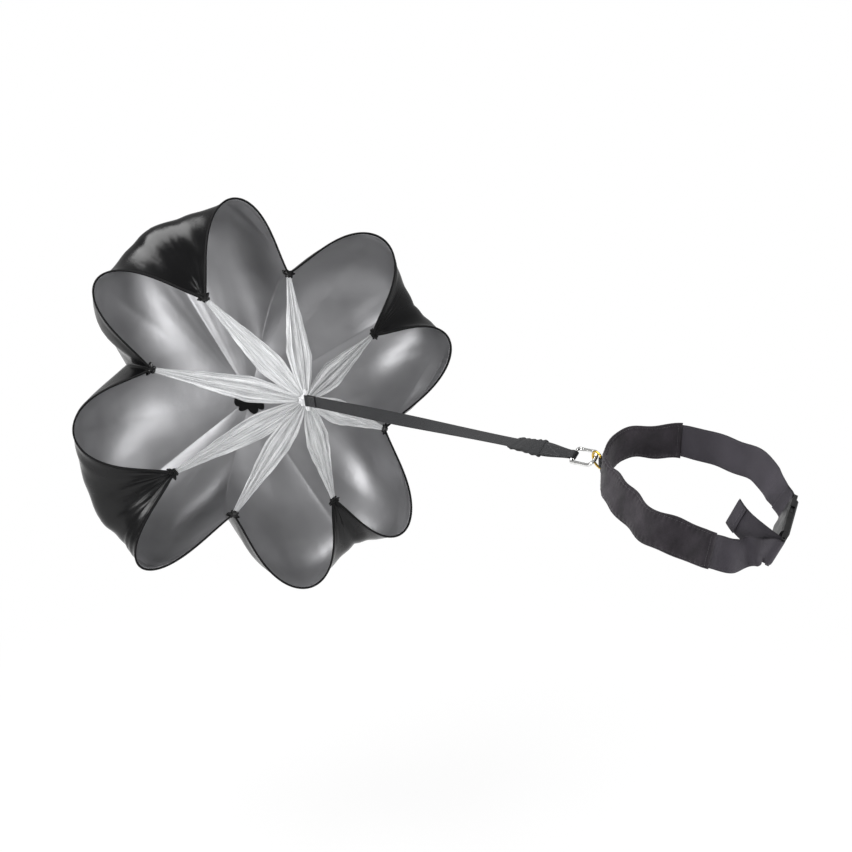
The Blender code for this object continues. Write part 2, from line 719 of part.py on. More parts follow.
def d_ring(belt, material):
    """D-ring: a straight upright bar, and a bow towards the tether."""
    seat = ring_seat(belt)
    half = ring_radius()
    middle = RING_DEPTH - half
    turn = np.linspace(math.pi / 2, -math.pi / 2, 13)
    points = [(middle + half * math.cos(a), half * math.sin(a)) for a in turn]
    for side, first in ((-1, -math.pi / 2), (1, math.pi)):
        for a in np.linspace(first, first - math.pi / 2, 4):
            points.append((RING_CORNER + RING_CORNER * math.cos(a),
                           side * (half - RING_CORNER) + RING_CORNER * math.sin(a)))
    centres = seat.at([(x, 0, z) for x, z in points])
    return wire("d_ring", centres, seat.y, RING_WIRE, material, closed=True)


class Hook:
    """Places along the snap hook: its loop of wire starts just behind the ring's bow."""

    def __init__(self, pivot):
        self.frame = tether_frame(pivot)
        self.across = rolled(self.frame, HOOK_ROLL)
        self.normal = np.cross(self.frame.x, self.across)
        self.start = -(RING_WIRE + HOOK_WIRE + HOOK_SEAT_PLAY)
        self.length = HOOK_LENGTH - 2 * HOOK_WIRE
        self.radius = HOOK_WIDTH / 2 - HOOK_WIRE
        self.hinge = self.start + self.length * GATE_HINGE_SHARE
        self.nose = self.start + self.length * GATE_NOSE_SHARE
        self.plane = Frame(self.frame.origin, self.frame.x, self.normal)

    def at(self, along, across, through=0.0):
        return (self.frame.origin + along * self.frame.x + across * self.across
                + through * self.normal)

    def eye(self):
        """Middle of the wire that the strap's loop goes round."""
        return self.at(self.start + self.length, 0.0)

    def gate_pivot(self):
        return self.at(self.hinge, self.radius)


def hook_body(hook, material):
    """Bent wire with a gap for the gate; its hinge end is pressed flat to a tongue."""
    radius = hook.radius
    corner = HOOK_EYE_CORNER
    far = hook.start + hook.length - corner
    near = hook.start + radius
    flat = hook.hinge + TONGUE_LENGTH - TONGUE_LAP
    thin = TONGUE_THICKNESS / 2 / HOOK_WIRE
    tongue = [(hook.hinge - TONGUE_LAP, radius), (flat, radius)]
    points = tongue + [(flat + HOOK_WIRE, radius)]
    for side, turns in ((1, (0, math.pi / 2)), (-1, (math.pi / 2, math.pi))):
        points += [(far + corner * math.sin(a), side * (radius - corner) + corner * math.cos(a))
                   for a in np.linspace(*turns, 5)]
    points += [(near - radius * math.sin(a), -radius * math.cos(a))
               for a in np.linspace(0, HOOK_NOSE_TURN, 10)]
    points.append((hook.nose, radius))
    centres = np.array([hook.at(x, y) for x, y in points])
    flats = [thin] * len(tongue) + [1.0] * (len(points) - len(tongue))
    body = wire("hook_body", centres, hook.normal, HOOK_WIRE, material, flats=flats)
    reach = HOOK_WIRE + CUT_OVERRUN
    bore = rod("hinge_bore", Frame((0, 0, 0), (1, 0, 0), UP), hook.at(hook.hinge, radius, -reach),
               hook.at(hook.hinge, radius, reach), GATE_PIN_RADIUS + TOUCH_GAP, material)
    combine(body, bore, "DIFFERENCE")
    return body


def hook_gate(hook, material):
    """Spring gate: a round bar with a fork over the tongue."""
    radius = hook.radius
    start = hook.hinge + FORK_LAP
    end = hook.nose + TOUCH_GAP
    centres = np.array([hook.at(x, radius) for x in np.linspace(start, end, 5)])
    gate = wire("hook_gate", centres, hook.normal, GATE_RADIUS, material)
    slot = TONGUE_THICKNESS / 2 + TOUCH_GAP
    low = (hook.hinge - FORK_DEPTH, 0, 0)
    corners = np.array([hook.at(x, radius + y, z) for x in (low[0], start + CUT_OVERRUN)
                        for y in (-HOOK_WIRE * 2, HOOK_WIRE * 2) for z in (-slot, slot)])
    faces = [(0, 1, 3, 2), (4, 6, 7, 5), (0, 4, 5, 1), (2, 3, 7, 6), (0, 2, 6, 4), (1, 5, 7, 3)]
    combine(gate, add_solid("gate_slot", corners, faces, material), "DIFFERENCE")
    reach = GATE_RADIUS + CUT_OVERRUN
    bore = rod("gate_bore", Frame((0, 0, 0), (1, 0, 0), UP), hook.at(hook.hinge, radius, -reach),
               hook.at(hook.hinge, radius, reach), GATE_PIN_RADIUS + TOUCH_GAP, material)
    combine(gate, bore, "DIFFERENCE")
    return gate


def gate_pin(hook, material):
    return rod("gate_pin", Frame((0, 0, 0), (1, 0, 0), UP), hook.at(hook.hinge, hook.radius, -GATE_RADIUS),
        hook.at(hook.hinge, hook.radius, GATE_RADIUS), GATE_PIN_RADIUS, material, sides=10)


# Tether strap

def canopy_axis():
    """Direction that the mouth of the canopy faces."""
    level = math.cos(CANOPY_PITCH)
    return np.array((math.cos(CANOPY_YAW) * level, math.sin(CANOPY_YAW) * level,
                     math.sin(CANOPY_PITCH)))


class Tether:
    """Places along the strap, from the hook's eye to the bridle's ring.

    At its head the strap stands on edge, and the bridle swings sideways about its width.
    """

    def __init__(self, hook):
        self.frame = tether_frame(hook.eye())
        self.head = self.frame.at((TETHER_LENGTH, 0, 0))
        self.head_across = rolled(self.frame, STRAP_HEAD_ROLL)

    def across(self, distance):
        """Width direction: the strap turns between the hook, its middle and its head."""
        sewn = HOOK_LOOP_LENGTH + STRAP_FOLD_LENGTH
        distance = np.clip(distance, LOOP_TAPER, TETHER_LENGTH - HEAD_LOOP_LENGTH)
        roll = HOOK_ROLL + (STRAP_MIDDLE_ROLL - HOOK_ROLL) * blend((distance - HOOK_LOOP_LENGTH)
                                                                   / STRAP_FOLD_LENGTH)
        roll = roll + (STRAP_HEAD_ROLL - STRAP_MIDDLE_ROLL) * blend((distance - sewn)
                                                                    / (TETHER_LENGTH - HEAD_LOOP_LENGTH - sewn))
        return np.array([rolled(self.frame, r) for r in np.atleast_1d(roll)])

    def place(self, distance, offset):
        """Points along the strap, moved off its middle plane."""
        across = self.across(distance)
        through = np.cross(self.frame.x, across)
        centre = self.frame.origin + np.asarray(distance, float)[:, None] * self.frame.x
        return centre + np.asarray(offset, float)[:, None] * through, across


def doubled_loop(name, tether, pivot, direction, inner_radius, length, neck, material):
    """A strap's end: out on one side, round a bar, and back on the other side."""
    radius = inner_radius + TOUCH_GAP + STRAP_THICKNESS / 2
    lay = STRAP_THICKNESS + TOUCH_GAP
    angle = np.linspace(-math.pi / 2, math.pi / 2, LOOP_STEPS + 1)
    legs = direction * (stations(pivot + direction * length, pivot + direction * LOOP_TAPER,
                                 STRAP_STEP) - pivot)
    distance = np.concatenate((legs, -radius * np.cos(angle), legs[::-1]))
    offset = np.concatenate((np.full(len(legs), -lay), radius * np.sin(angle),
                             np.full(len(legs), lay)))
    centres, across = tether.place(pivot + direction * distance, offset)
    turned = tether.across([pivot])[0]
    across[len(legs):-len(legs)] = turned
    narrow = blend(np.clip(distance, 0, length) / length)
    widths = neck + (STRAP_WIDTH - neck) * narrow
    return ribbon(name, centres, across, widths, STRAP_THICKNESS, material)


def strap_hook_loop(tether, material):
    """Sewn end round the hook's eye, drawn narrow where the hook holds it."""
    return doubled_loop("strap_hook_loop", tether, 0.0, 1, HOOK_WIRE, HOOK_LOOP_LENGTH,
                        HOOK_LOOP_NECK, material)


def strap_head_loop(tether, material):
    """Sewn end round the bridle's ring."""
    return doubled_loop("strap_head_loop", tether, TETHER_LENGTH, -1, BRIDLE_WIRE,
                        HEAD_LOOP_LENGTH, STRAP_WIDTH, material)


def tether_strap(tether, material):
    """The single strap between the two sewn ends, whose two layers hold it."""
    sewn = HOOK_LOOP_LENGTH + STRAP_FOLD_LENGTH + STRAP_STEP
    distance = np.concatenate((
        stations(LOOP_TAPER, sewn, STRAP_STEP)[:-1],
        stations(sewn, TETHER_LENGTH - HEAD_LOOP_LENGTH - STRAP_STEP, 4 * STRAP_STEP)[:-1],
        stations(TETHER_LENGTH - HEAD_LOOP_LENGTH - STRAP_STEP, TETHER_LENGTH - LOOP_TAPER,
                 STRAP_STEP)))
    centres, across = tether.place(distance, np.zeros(len(distance)))
    near_hook = blend(distance / HOOK_LOOP_LENGTH)
    widths = HOOK_LOOP_NECK + (STRAP_WIDTH - HOOK_LOOP_NECK) * near_hook
    return ribbon("tether_strap", centres, across, widths, STRAP_THICKNESS, material)


def strap_fold(tether, material):
    """The strap's tail, folded over and wrapped round the strap beside the sewn loop."""
    start = HOOK_LOOP_LENGTH + TOUCH_GAP
    distance = stations(start, start + STRAP_FOLD_LENGTH, STRAP_STEP)
    centre, across = tether.place(distance, np.zeros(len(distance)))
    through = np.cross(tether.frame.x, across)
    bore_high, bore_deep = STRAP_WIDTH / 2 + FOLD_PLAY, STRAP_THICKNESS / 2 + FOLD_PLAY
    high, deep = bore_high + STRAP_FOLD_MARGIN, bore_deep + STRAP_THICKNESS
    outer = ((high, deep), (-high, deep), (-high, -deep), (high, -deep))
    fold = loft("strap_fold", belt_rings(centre, through, across, outer), material)
    past = (distance[0] - CUT_OVERRUN, distance[-1] + CUT_OVERRUN)
    distance = np.concatenate((past[:1], distance, past[1:]))
    centre, across = tether.place(distance, np.zeros(len(distance)))
    through = np.cross(tether.frame.x, across)
    bore = ((bore_high, bore_deep), (-bore_high, bore_deep), (-bore_high, -bore_deep),
            (bore_high, -bore_deep))
    combine(fold, loft("fold_bore", belt_rings(centre, through, across, bore), material), "DIFFERENCE")
    return fold


# Canopy

class Canopy:
    """The inflated cloth. z of its frame points out of the mouth, to the bridle's ring."""

    def __init__(self, tether):
        self.head = tether.head
        self.head_across = tether.head_across
        axis = canopy_axis()
        right = unit(np.cross(UP, axis))
        self.axis = axis
        self.frame = Frame(self.head - BRIDLE_HEIGHT * axis, right, axis)
        number = np.arange(GORES)
        pitch = 2 * math.pi / GORES
        self.gather_angle = CANOPY_ROLL - number * pitch + np.radians(GATHER_TURNS)
        self.lobe_angle = CANOPY_ROLL + (0.5 - number) * pitch + np.radians(LOBE_TURNS)
        gather = GATHER_RADIUS * np.array(GATHER_RADIUS_SHARES)
        lobe = LOBE_RADIUS * np.array(LOBE_RADIUS_SHARES)
        self.gathers = polar(gather, self.gather_angle, np.zeros(GORES))
        self.tips = polar(lobe, self.lobe_angle, np.full(GORES, -LOBE_SETBACK))

    def rim(self, gore, share):
        """Rim of one lobe: share runs from -1 at its first gather to 1 at its second.

        From the line between its gathers the rim swells to the lobe's tip as the cosine
        of the share, and its sides draw in a little beside each gather.
        """
        first, second = self.gathers[gore - 1], self.gathers[gore % GORES]
        swell = np.cos(share * math.pi / 2)
        side = (1 - RIM_PINCH_SHARE) * np.sqrt(1 - swell ** RIM_POWER)
        side = np.sign(share) * (side + RIM_PINCH_SHARE * (1 - swell) ** 4)
        middle = (first + second) / 2
        return (middle + swell[..., None] * (self.tips[gore] - middle)
                + side[..., None] * (second - first) / 2)

    def bulge(self, gather):
        """How far the cloth swells behind a gather: corners much, middles of sides little."""
        if gather % 2:
            return SIDE_BULGE * SIDE_BULGE_SHARES[gather // 2]
        return CORNER_BULGE * CORNER_BULGE_SHARES[gather // 2]

    def cloth(self, place, height):
        """Points of the cloth. place counts gores round the rim, height runs from apex to rim.

        Each meridian is a cubic Bezier curve: level at the apex, out towards a swelling
        point, and on to the rim.
        """
        place = np.mod(place, GORES)
        gore = np.floor(place).astype(int) % GORES
        share = 2 * (place - np.floor(place)) - 1
        points = np.empty(np.broadcast(place, height).shape + (3,))
        for k in range(GORES):
            mine = np.broadcast_to(gore == k, points.shape[:-1])
            if not mine.any():
                continue
            s = np.broadcast_to(share, mine.shape)[mine]
            u = np.broadcast_to(height, mine.shape)[mine]
            points[mine] = self.gore_cloth(k, s, u)
        return points

    def gore_cloth(self, k, s, u):
        before, after = (k - 1) % GORES, k
        rim = self.rim(k, s)
        weight = np.abs(s) ** BULGE_POWER
        near = np.where(s < 0, self.bulge(before), self.bulge(after))
        corner = np.where(s < 0, 1 - before % 2, 1 - after % 2)
        first = self.lobe_angle[k] + self.turn_to(k, before)
        last = self.lobe_angle[k] + self.turn_to(k, after)
        angle = np.where(s < 0, self.lobe_angle[k] - s * (first - self.lobe_angle[k]),
                         self.lobe_angle[k] + s * (last - self.lobe_angle[k]))
        reach = LOBE_BULGE * (1 - weight) + near * weight
        near_back = np.where(corner, CORNER_BACK_SHARE, SIDE_BACK_SHARE)
        near_level = np.where(corner, CORNER_LEVEL_SHARE, SIDE_LEVEL_SHARE)
        back = CANOPY_DEPTH * (LOBE_BACK_SHARE * (1 - weight) + near_back * weight)
        flat = reach * (LOBE_LEVEL_SHARE * (1 - weight) + near_level * weight)
        zero = np.zeros_like(s)
        apex = polar(zero, angle, zero - CANOPY_DEPTH)
        level = polar(flat, angle, zero - CANOPY_DEPTH)
        swell = polar(reach, angle, -back)
        v = 1 - u
        points = (v ** 3)[:, None] * apex + (3 * v * v * u)[:, None] * level
        points = points + (3 * v * u * u)[:, None] * swell + (u ** 3)[:, None] * rim
        return points + self.pleats(s, u, corner, angle)

    def turn_to(self, k, gather):
        turn = self.gather_angle[gather] - self.lobe_angle[k]
        return (turn + math.pi) % (2 * math.pi) - math.pi

    def pleats(self, s, u, corner, angle):
        """Folds that run out from each drawn-in corner and die away down the cloth."""
        beside = 1 - np.abs(s)
        fade = corner * u ** 3 * (1 - u) * blend(beside / PLEAT_RISE_SHARE)
        fade = fade * blend((PLEAT_END_SHARE - beside) / PLEAT_FADE_SHARE)
        wave = np.sin(5 * math.pi * beside)
        return polar(4 * PLEAT_HEIGHT * fade * wave, angle, np.zeros_like(s))

    def band_direction(self, gather):
        return unit(self.band_root(gather) - self.gathers[gather])

    def band_root(self, gather):
        """Where a band leaves the knot, in the canopy's frame."""
        radius = KNOT_BACK_RADIUS - BAND_ROOT_WIDTH / 4
        angle = CANOPY_ROLL - gather * 2 * math.pi / GORES
        return polar(radius, angle, BRIDLE_HEIGHT - self.knot_back())

    def knot_front(self):
        """Distance of the knot's front from the bridle ring's front bar."""
        return self.ring_depth() + BRIDLE_WIRE + KNOT_SEAT

    def knot_back(self):
        return self.knot_front() + KNOT_LENGTH + BAND_SEAT

    def ring_depth(self):
        """Middle of the ring's front bar to the middle of its back bar."""
        return 2 * BRIDLE_WIRE + STRAP_THICKNESS + TOUCH_GAP + RUNNING_GAP


def polar(radius, angle, height):
    radius, angle, height = np.broadcast_arrays(radius, angle, height)
    return np.stack([radius * np.cos(angle), radius * np.sin(angle), height], axis=-1)


def cloth_grid(canopy, place, height):
    """Points and outward normals of the cloth on a grid."""
    step = GRID_STEP_SHARE
    points = canopy.cloth(place, height)
    wide = canopy.cloth(place + step, height) - canopy.cloth(place - step, height)
    low = np.clip(height - step, LEAST_HEIGHT_SHARE, 1)
    high = np.clip(height + step, LEAST_HEIGHT_SHARE, 1)
    tall = canopy.cloth(place, high) - canopy.cloth(place, low)
    return points, unit(np.cross(wide, tall))


def gore_columns(k):
    """Places across one gore: its columns lie closer together beside the gathers."""
    column = np.linspace(-1, 1, GORE_COLUMNS + 1)
    share = column + COLUMN_CROWDING_SHARE * np.sin(math.pi * column) / math.pi
    share = np.concatenate(([-1, -HEM_END_SHARE], share[1:-1], [HEM_END_SHARE, 1]))
    return k + (1 + share * SEAM_SHARE) / 2


def canopy_gore(canopy, k, material):
    """One gore: a thin shell from the apex vent to the rim of one lobe."""
    start = VENT_RADIUS / (3 * SIDE_LEVEL_SHARE * LOBE_BULGE)
    height = np.linspace(start ** 0.8, 1, GORE_ROWS + 1)[:, None] ** 1.25
    place = gore_columns(k)[None, :]
    place, height = np.broadcast_arrays(place, height)
    points, normal = cloth_grid(canopy, place, height)
    sideways = unit(np.gradient(points, axis=1))
    points[:, 0] += sideways[:, 0] * TOUCH_GAP * SEAM_TRIM_SHARE
    points[:, -1] -= sideways[:, -1] * TOUCH_GAP * SEAM_TRIM_SHARE
    inner = points + normal * CLOTH_THICKNESS * canopy_inward(canopy, points, normal)
    return shell_between("canopy_gore_%d" % (k + 1), canopy, points, inner, material)


def canopy_inward(canopy, points, normal):
    """1 where the normal points into the bowl, or else -1."""
    middle = np.array((0.0, 0.0, -CANOPY_DEPTH * INSIDE_SHARE))
    inside = ((middle - points) * normal).sum()
    return 1.0 if inside > 0 else -1.0


def shell_between(name, canopy, outer, inner, material):
    """A thin closed solid between two grids of the same size."""
    rows, columns = outer.shape[:2]
    count = rows * columns
    index = np.arange(count).reshape(rows, columns)
    faces = []
    for i in range(rows - 1):
        for j in range(columns - 1):
            quad = (index[i, j], index[i, j + 1], index[i + 1, j + 1], index[i + 1, j])
            faces.append(tuple(int(q) for q in quad))
            faces.append(tuple(int(q) + count for q in reversed(quad)))
    loop = list(index[0, :-1]) + list(index[:-1, -1]) + list(index[-1, :0:-1]) + list(index[:0:-1, 0])
    for a, b in zip(loop, loop[1:] + loop[:1]):
        faces.append((int(b), int(a), int(a) + count, int(b) + count))
    points = np.vstack((outer.reshape(-1, 3), inner.reshape(-1, 3)))
    return add_solid(name, canopy.frame.at(points), faces, material)


def rim_binding(canopy, k, material):
    """Hem tape over the edge of one lobe, from gather to gather."""
    place = gore_columns(k)[1:-1]
    edge, _ = cloth_grid(canopy, place, np.ones_like(place))
    before = canopy.cloth(place, np.full_like(place, 1 - 1 / GORE_ROWS))
    forward = square_to(edge - before, tangents(edge))
    normal = np.cross(tangents(edge), forward)
    inward = CLOTH_THICKNESS / 2 * canopy_inward(canopy, edge, normal)
    middle = edge + normal * inward + forward * (BINDING_GAP + BINDING_WIDTH / 2)
    half_wide = forward * BINDING_WIDTH / 2
    half_deep = normal * BINDING_THICKNESS / 2
    corners = ((1, 1), (-1, 1), (-1, -1), (1, -1))
    rings = np.stack([middle + a * half_wide + b * half_deep for a, b in corners], axis=1)
    return loft("rim_binding_%d" % (k + 1), canopy.frame.at(rings), material)


def gather_tab(canopy, k, material):
    """Folded tab that the cloth's edge and the end of a band are sewn into."""
    gather = canopy.gathers[k]
    frame = Frame(gather, canopy.band_direction(k), np.cross(gather, UP))
    start = SIDE_TAB_SEAT if k % 2 else 0.0
    wide, thick = TAB_BLOCK_WIDTH / 2, TAB_BLOCK_THICKNESS / 2
    edge = TAB_EDGE_SHARE * wide
    outline = ((edge, thick), (-edge, thick), (-wide, 0), (-edge, -thick), (edge, -thick), (wide, 0))
    rings = []
    for along, share in TAB_TAPER_SHARES:
        along = start + TAB_BLOCK_LENGTH * along
        rings.append(frame.at([(along, share * y, share * z) for z, y in outline]))
    return loft("gather_tab_%d" % (k + 1), canopy.frame.at(np.array(rings)), material)


def mesh_band(canopy, k, material):
    """Net band from a gather to the knot, narrow at both ends and creased along its length."""
    gather = canopy.gathers[k]
    root = canopy.band_root(k)
    direction = canopy.band_direction(k)
    start = gather + direction * (SIDE_TAB_SEAT + TAB_BLOCK_LENGTH + TOUCH_GAP)
    share = np.linspace(0, 1, BAND_ROWS + 1)
    centre = start + (root - start) * share[:, None]
    rise = 1 - BAND_FULL_SHARE
    width = BAND_END_WIDTH + (BAND_FULL_WIDTH - BAND_END_WIDTH) * blend(share / rise)
    tight = (1 - share) / BAND_FULL_SHARE
    slim = BAND_ROOT_WIDTH + (BAND_FULL_WIDTH - BAND_ROOT_WIDTH) * np.clip(tight, 0, 1)
    width = np.minimum(width, slim)
    across = unit(np.cross(direction, gather))
    normal = np.cross(across, direction)
    column = np.linspace(-1, 1, BAND_COLUMNS + 1)
    crease = BAND_FOLD_HEIGHT * (width / BAND_FULL_WIDTH)[:, None] * np.cos(math.pi * 3 * column)
    middle = (centre[:, None] + (width[:, None] / 2 * column)[..., None] * across
              + crease[..., None] * normal)
    return shell_between("mesh_band_%d" % (k + 1), canopy, middle + normal * BAND_THICKNESS / 2,
                  middle - normal * BAND_THICKNESS / 2, material)


def apex_patch(canopy, material):
    """Round patch inside the apex, over the point where the gores meet."""
    angle = np.arange(16) * 2 * math.pi / 16
    place = angle / (2 * math.pi) * GORES
    rings = []
    for radius in (VENT_RADIUS, PATCH_RADIUS):
        height = np.full_like(place, radius / (3 * SIDE_LEVEL_SHARE * LOBE_BULGE))
        points, normal = cloth_grid(canopy, place, height)
        inward = normal * canopy_inward(canopy, points, normal)
        rings.append(points + inward * (CLOTH_THICKNESS + TOUCH_GAP))
    low = np.stack((rings[0], rings[1]))
    top = low + np.array((0, 0, CLOTH_THICKNESS))
    ordered = np.stack((low[0], low[1], top[1], top[0]))
    return loft("apex_patch", canopy.frame.at(ordered), material)


def bridle_ring(canopy, material):
    """Ring of gathered mesh that the strap's head loop is sewn round."""
    across = canopy.head_across
    back = square_to(-canopy.axis, across)
    normal = np.cross(across, back)
    half = STRAP_WIDTH / 2 + RUNNING_GAP + BRIDLE_WIRE
    depth = canopy.ring_depth()
    corner = depth / 2
    points = []
    for middle, first in (((half - corner + corner, corner), 0), ((-half, corner), 180)):
        for a in np.linspace(-90, 90, 5):
            turn = math.radians(a + first)
            points.append((middle[0] + corner * math.cos(turn), corner + corner * math.sin(turn)))
    centres = np.array([canopy.head + w * across + d * back for w, d in points])
    return wire("bridle_ring", centres, normal, BRIDLE_WIRE, material, closed=True)


def bridle_knot(canopy, material):
    """Sewn bunch that the eight bands come out of, behind the ring."""
    angle = np.arange(16) * 2 * math.pi / 16
    rings = []
    for radius, along in ((KNOT_FRONT_RADIUS, 0.0), (KNOT_BACK_RADIUS, 0.6), (KNOT_BACK_RADIUS, 1.0)):
        height = BRIDLE_HEIGHT - canopy.knot_front() - along * KNOT_LENGTH
        rings.append(polar(radius, angle, height))
    return loft("bridle_knot", canopy.frame.at(np.array(rings)), material)


def turn_about(point, items):
    """Set the pieces' origins on the joint that they turn about, where they lie."""
    point = Vector(point)
    for item in items:
        item.data.transform(Matrix.Translation(-point))
        item.location = point


def clear_scene():
    for item in list(bpy.data.objects):
        bpy.data.objects.remove(item, do_unlink=True)


def build_belt(belt, look):
    belt_webbing(belt, look["belt"])
    adjuster_webbing(belt, look["belt"])
    tail_hem(belt, look["belt"])
    back_sleeve(belt, look["sleeve"])
    ring_tab(belt, look["strap"])
    buckle_socket(belt.buckle, look["plastic"])
    plug = buckle_plug(belt.buckle, look["plastic"])
    turn_about(belt.buckle.origin, [plug])
    along, height = prong_root()
    for name, side in (("prong_upper", 1), ("prong_lower", -1)):
        prong = buckle_prong(name, belt.buckle, side, look["plastic"])
        turn_about(belt.buckle.at((along, 0, side * height)), [prong])


def build_hook(belt, hook, look):
    turn_about(ring_seat(belt).origin, [d_ring(belt, look["brass"])])
    body = [hook_body(hook, look["steel"]), gate_pin(hook, look["steel"])]
    turn_about(bow_centre(belt), body)
    turn_about(hook.gate_pivot(), [hook_gate(hook, look["steel"])])


def build_tether(hook, tether, look):
    makers = (tether_strap, strap_hook_loop, strap_fold, strap_head_loop)
    turn_about(hook.eye(), [make(tether, look["strap"]) for make in makers])


def build_canopy(canopy, look):
    pieces = [bridle_ring(canopy, look["mesh"]), bridle_knot(canopy, look["mesh"]),
              apex_patch(canopy, look["binding"])]
    for k in range(GORES):
        pieces += [canopy_gore(canopy, k, look["cloth"]), rim_binding(canopy, k, look["binding"]),
                   gather_tab(canopy, k, look["binding"]), mesh_band(canopy, k, look["mesh"])]
    turn_about(canopy.head, pieces)


def build():
    clear_scene()
    look = make_finishes()
    belt = BeltLine()
    hook = Hook(hook_contact(belt))
    tether = Tether(hook)
    build_belt(belt, look)
    build_hook(belt, hook, look)
    build_tether(hook, tether, look)
    build_canopy(Canopy(tether), look)


build()
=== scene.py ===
# %% [markdown]
# # A speed parachute
# A runner wears the waist belt, and a lobed canopy of coated nylon fills with air behind them.
# A snap hook and a tether strap join the two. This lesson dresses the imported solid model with
# fabric, webbing, net, plastic and metal, one piece at a time. The first cell loads the solid
# model. It is the fixed frame: every new piece is worked out in its metres and in its place.

# %% Load the solid model
import json
import math

import bmesh
import bpy
import numpy as np
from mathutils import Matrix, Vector


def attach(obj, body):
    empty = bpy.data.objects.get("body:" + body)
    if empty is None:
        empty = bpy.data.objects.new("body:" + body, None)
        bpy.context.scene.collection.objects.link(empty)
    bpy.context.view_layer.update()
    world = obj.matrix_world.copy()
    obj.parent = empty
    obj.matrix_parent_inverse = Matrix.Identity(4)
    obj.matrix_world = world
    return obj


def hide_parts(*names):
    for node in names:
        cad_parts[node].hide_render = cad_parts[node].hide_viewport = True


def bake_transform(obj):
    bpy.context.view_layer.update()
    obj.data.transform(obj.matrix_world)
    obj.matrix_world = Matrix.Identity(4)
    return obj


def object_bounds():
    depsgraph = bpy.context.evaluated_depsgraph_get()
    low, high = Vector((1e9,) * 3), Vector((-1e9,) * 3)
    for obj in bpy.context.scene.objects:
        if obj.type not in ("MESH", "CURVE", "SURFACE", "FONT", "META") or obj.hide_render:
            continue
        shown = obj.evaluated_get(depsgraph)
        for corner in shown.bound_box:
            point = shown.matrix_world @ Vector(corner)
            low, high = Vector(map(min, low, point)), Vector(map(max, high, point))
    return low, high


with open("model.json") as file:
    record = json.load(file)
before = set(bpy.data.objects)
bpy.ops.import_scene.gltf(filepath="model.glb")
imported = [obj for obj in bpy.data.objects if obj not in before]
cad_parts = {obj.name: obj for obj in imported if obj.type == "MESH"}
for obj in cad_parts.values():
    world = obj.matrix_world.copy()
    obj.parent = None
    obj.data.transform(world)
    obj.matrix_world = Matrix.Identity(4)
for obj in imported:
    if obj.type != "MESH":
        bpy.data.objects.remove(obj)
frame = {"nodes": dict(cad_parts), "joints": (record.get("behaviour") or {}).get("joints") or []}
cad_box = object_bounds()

joints = {joint["name"]: joint for joint in frame["joints"]}

# %% [markdown]
# ## The camera
# The photograph looks into the canopy's mouth, from beside the belt and above it. A camera
# could be placed by eye, but the far lobes then easily come out at the wrong size. Here its
# place, and its lens of 63 mm on a 36 mm sensor, were worked out from points on the belt and
# on the canopy. It turns by an azimuth and an elevation only, and has no roll.

# %% The camera stands where the photograph was taken from
CAMERA_PLACE = (1.5305, -1.3015, 1.0248)
CAMERA_AZIMUTH = 61
CAMERA_ELEVATION = 25
LENS_MM = 63.38
SENSOR_MM = 36.0
SIGHT = 200      # metres, past the edge of the studio floor


def viewing_direction(azimuth, elevation):
    """From the object to the camera: the azimuth turns about Z, the elevation lifts."""
    a, e = math.radians(azimuth), math.radians(elevation)
    return Vector((math.sin(a) * math.cos(e), -math.cos(a) * math.cos(e), math.sin(e)))


camera_data = bpy.data.cameras.new("camera")
camera_data.lens = LENS_MM
camera_data.sensor_width = SENSOR_MM
camera_data.clip_end = SIGHT
camera = bpy.data.objects.new("camera", camera_data)
camera.location = CAMERA_PLACE
camera.rotation_mode = "QUATERNION"
toward = viewing_direction(CAMERA_AZIMUTH, CAMERA_ELEVATION)
camera.rotation_quaternion = (-toward).to_track_quat("-Z", "Y")
bpy.context.scene.collection.objects.link(camera)
bpy.context.scene.camera = camera
print("camera at", tuple(camera.location))

# %% [markdown]
# ## Nodes and colours
# A material is a graph of nodes. It can be drawn by hand in Blender's editor, but as text it
# can be read, compared and made again. A colour is written as the hex value that a picture
# shows, and one function turns it into the linear light that a shader wants. One function
# adds a node with its settings and links, so that each material below reads as a list.

# %% Helpers for materials


def linear(hex_colour):
    """sRGB hex to linear: small values are a straight line, the rest a power of 2.4."""
    value = np.array([int(hex_colour[i:i + 2], 16) for i in (1, 3, 5)]) / 255
    low, high = value / 12.92, ((value + 0.055) / 1.055) ** 2.4
    return (*np.where(value <= 0.04045, low, high), 1.0)


def put(tree, kind, inputs=None, output=0, **settings):
    """Adds a node and gives an output of it. Inputs hold values, or outputs to be linked."""
    made = tree.nodes.new(kind)
    for field, value in settings.items():
        setattr(made, field, value)
    for socket, value in (inputs or {}).items():
        if isinstance(value, bpy.types.NodeSocket):
            tree.links.new(value, made.inputs[socket])
        else:
            made.inputs[socket].default_value = value
    return made.outputs[output]


def new_material(name, roughness, metallic=0.0, **sockets):
    """A material with these plain values on its shader, and its tree of nodes."""
    material = bpy.data.materials.new(name)
    material.use_nodes = True
    shader = material.node_tree.nodes["Principled BSDF"]
    for socket, value in dict(sockets, Roughness=roughness, Metallic=metallic).items():
        shader.inputs[socket.replace("_", " ")].default_value = value
    return material, material.node_tree


def finish(material, height=None, millimetres=0.0, strength=1.0, **patterns):
    """Links patterns to the shader. A height becomes a relief so many millimetres deep."""
    tree = material.node_tree
    if height is not None:
        patterns["Normal"] = put(tree, "ShaderNodeBump", {
            "Height": height, "Distance": millimetres / 1000, "Strength": strength})
    for socket, pattern in patterns.items():
        tree.links.new(pattern, tree.nodes["Principled BSDF"].inputs[socket.replace("_", " ")])
    return material


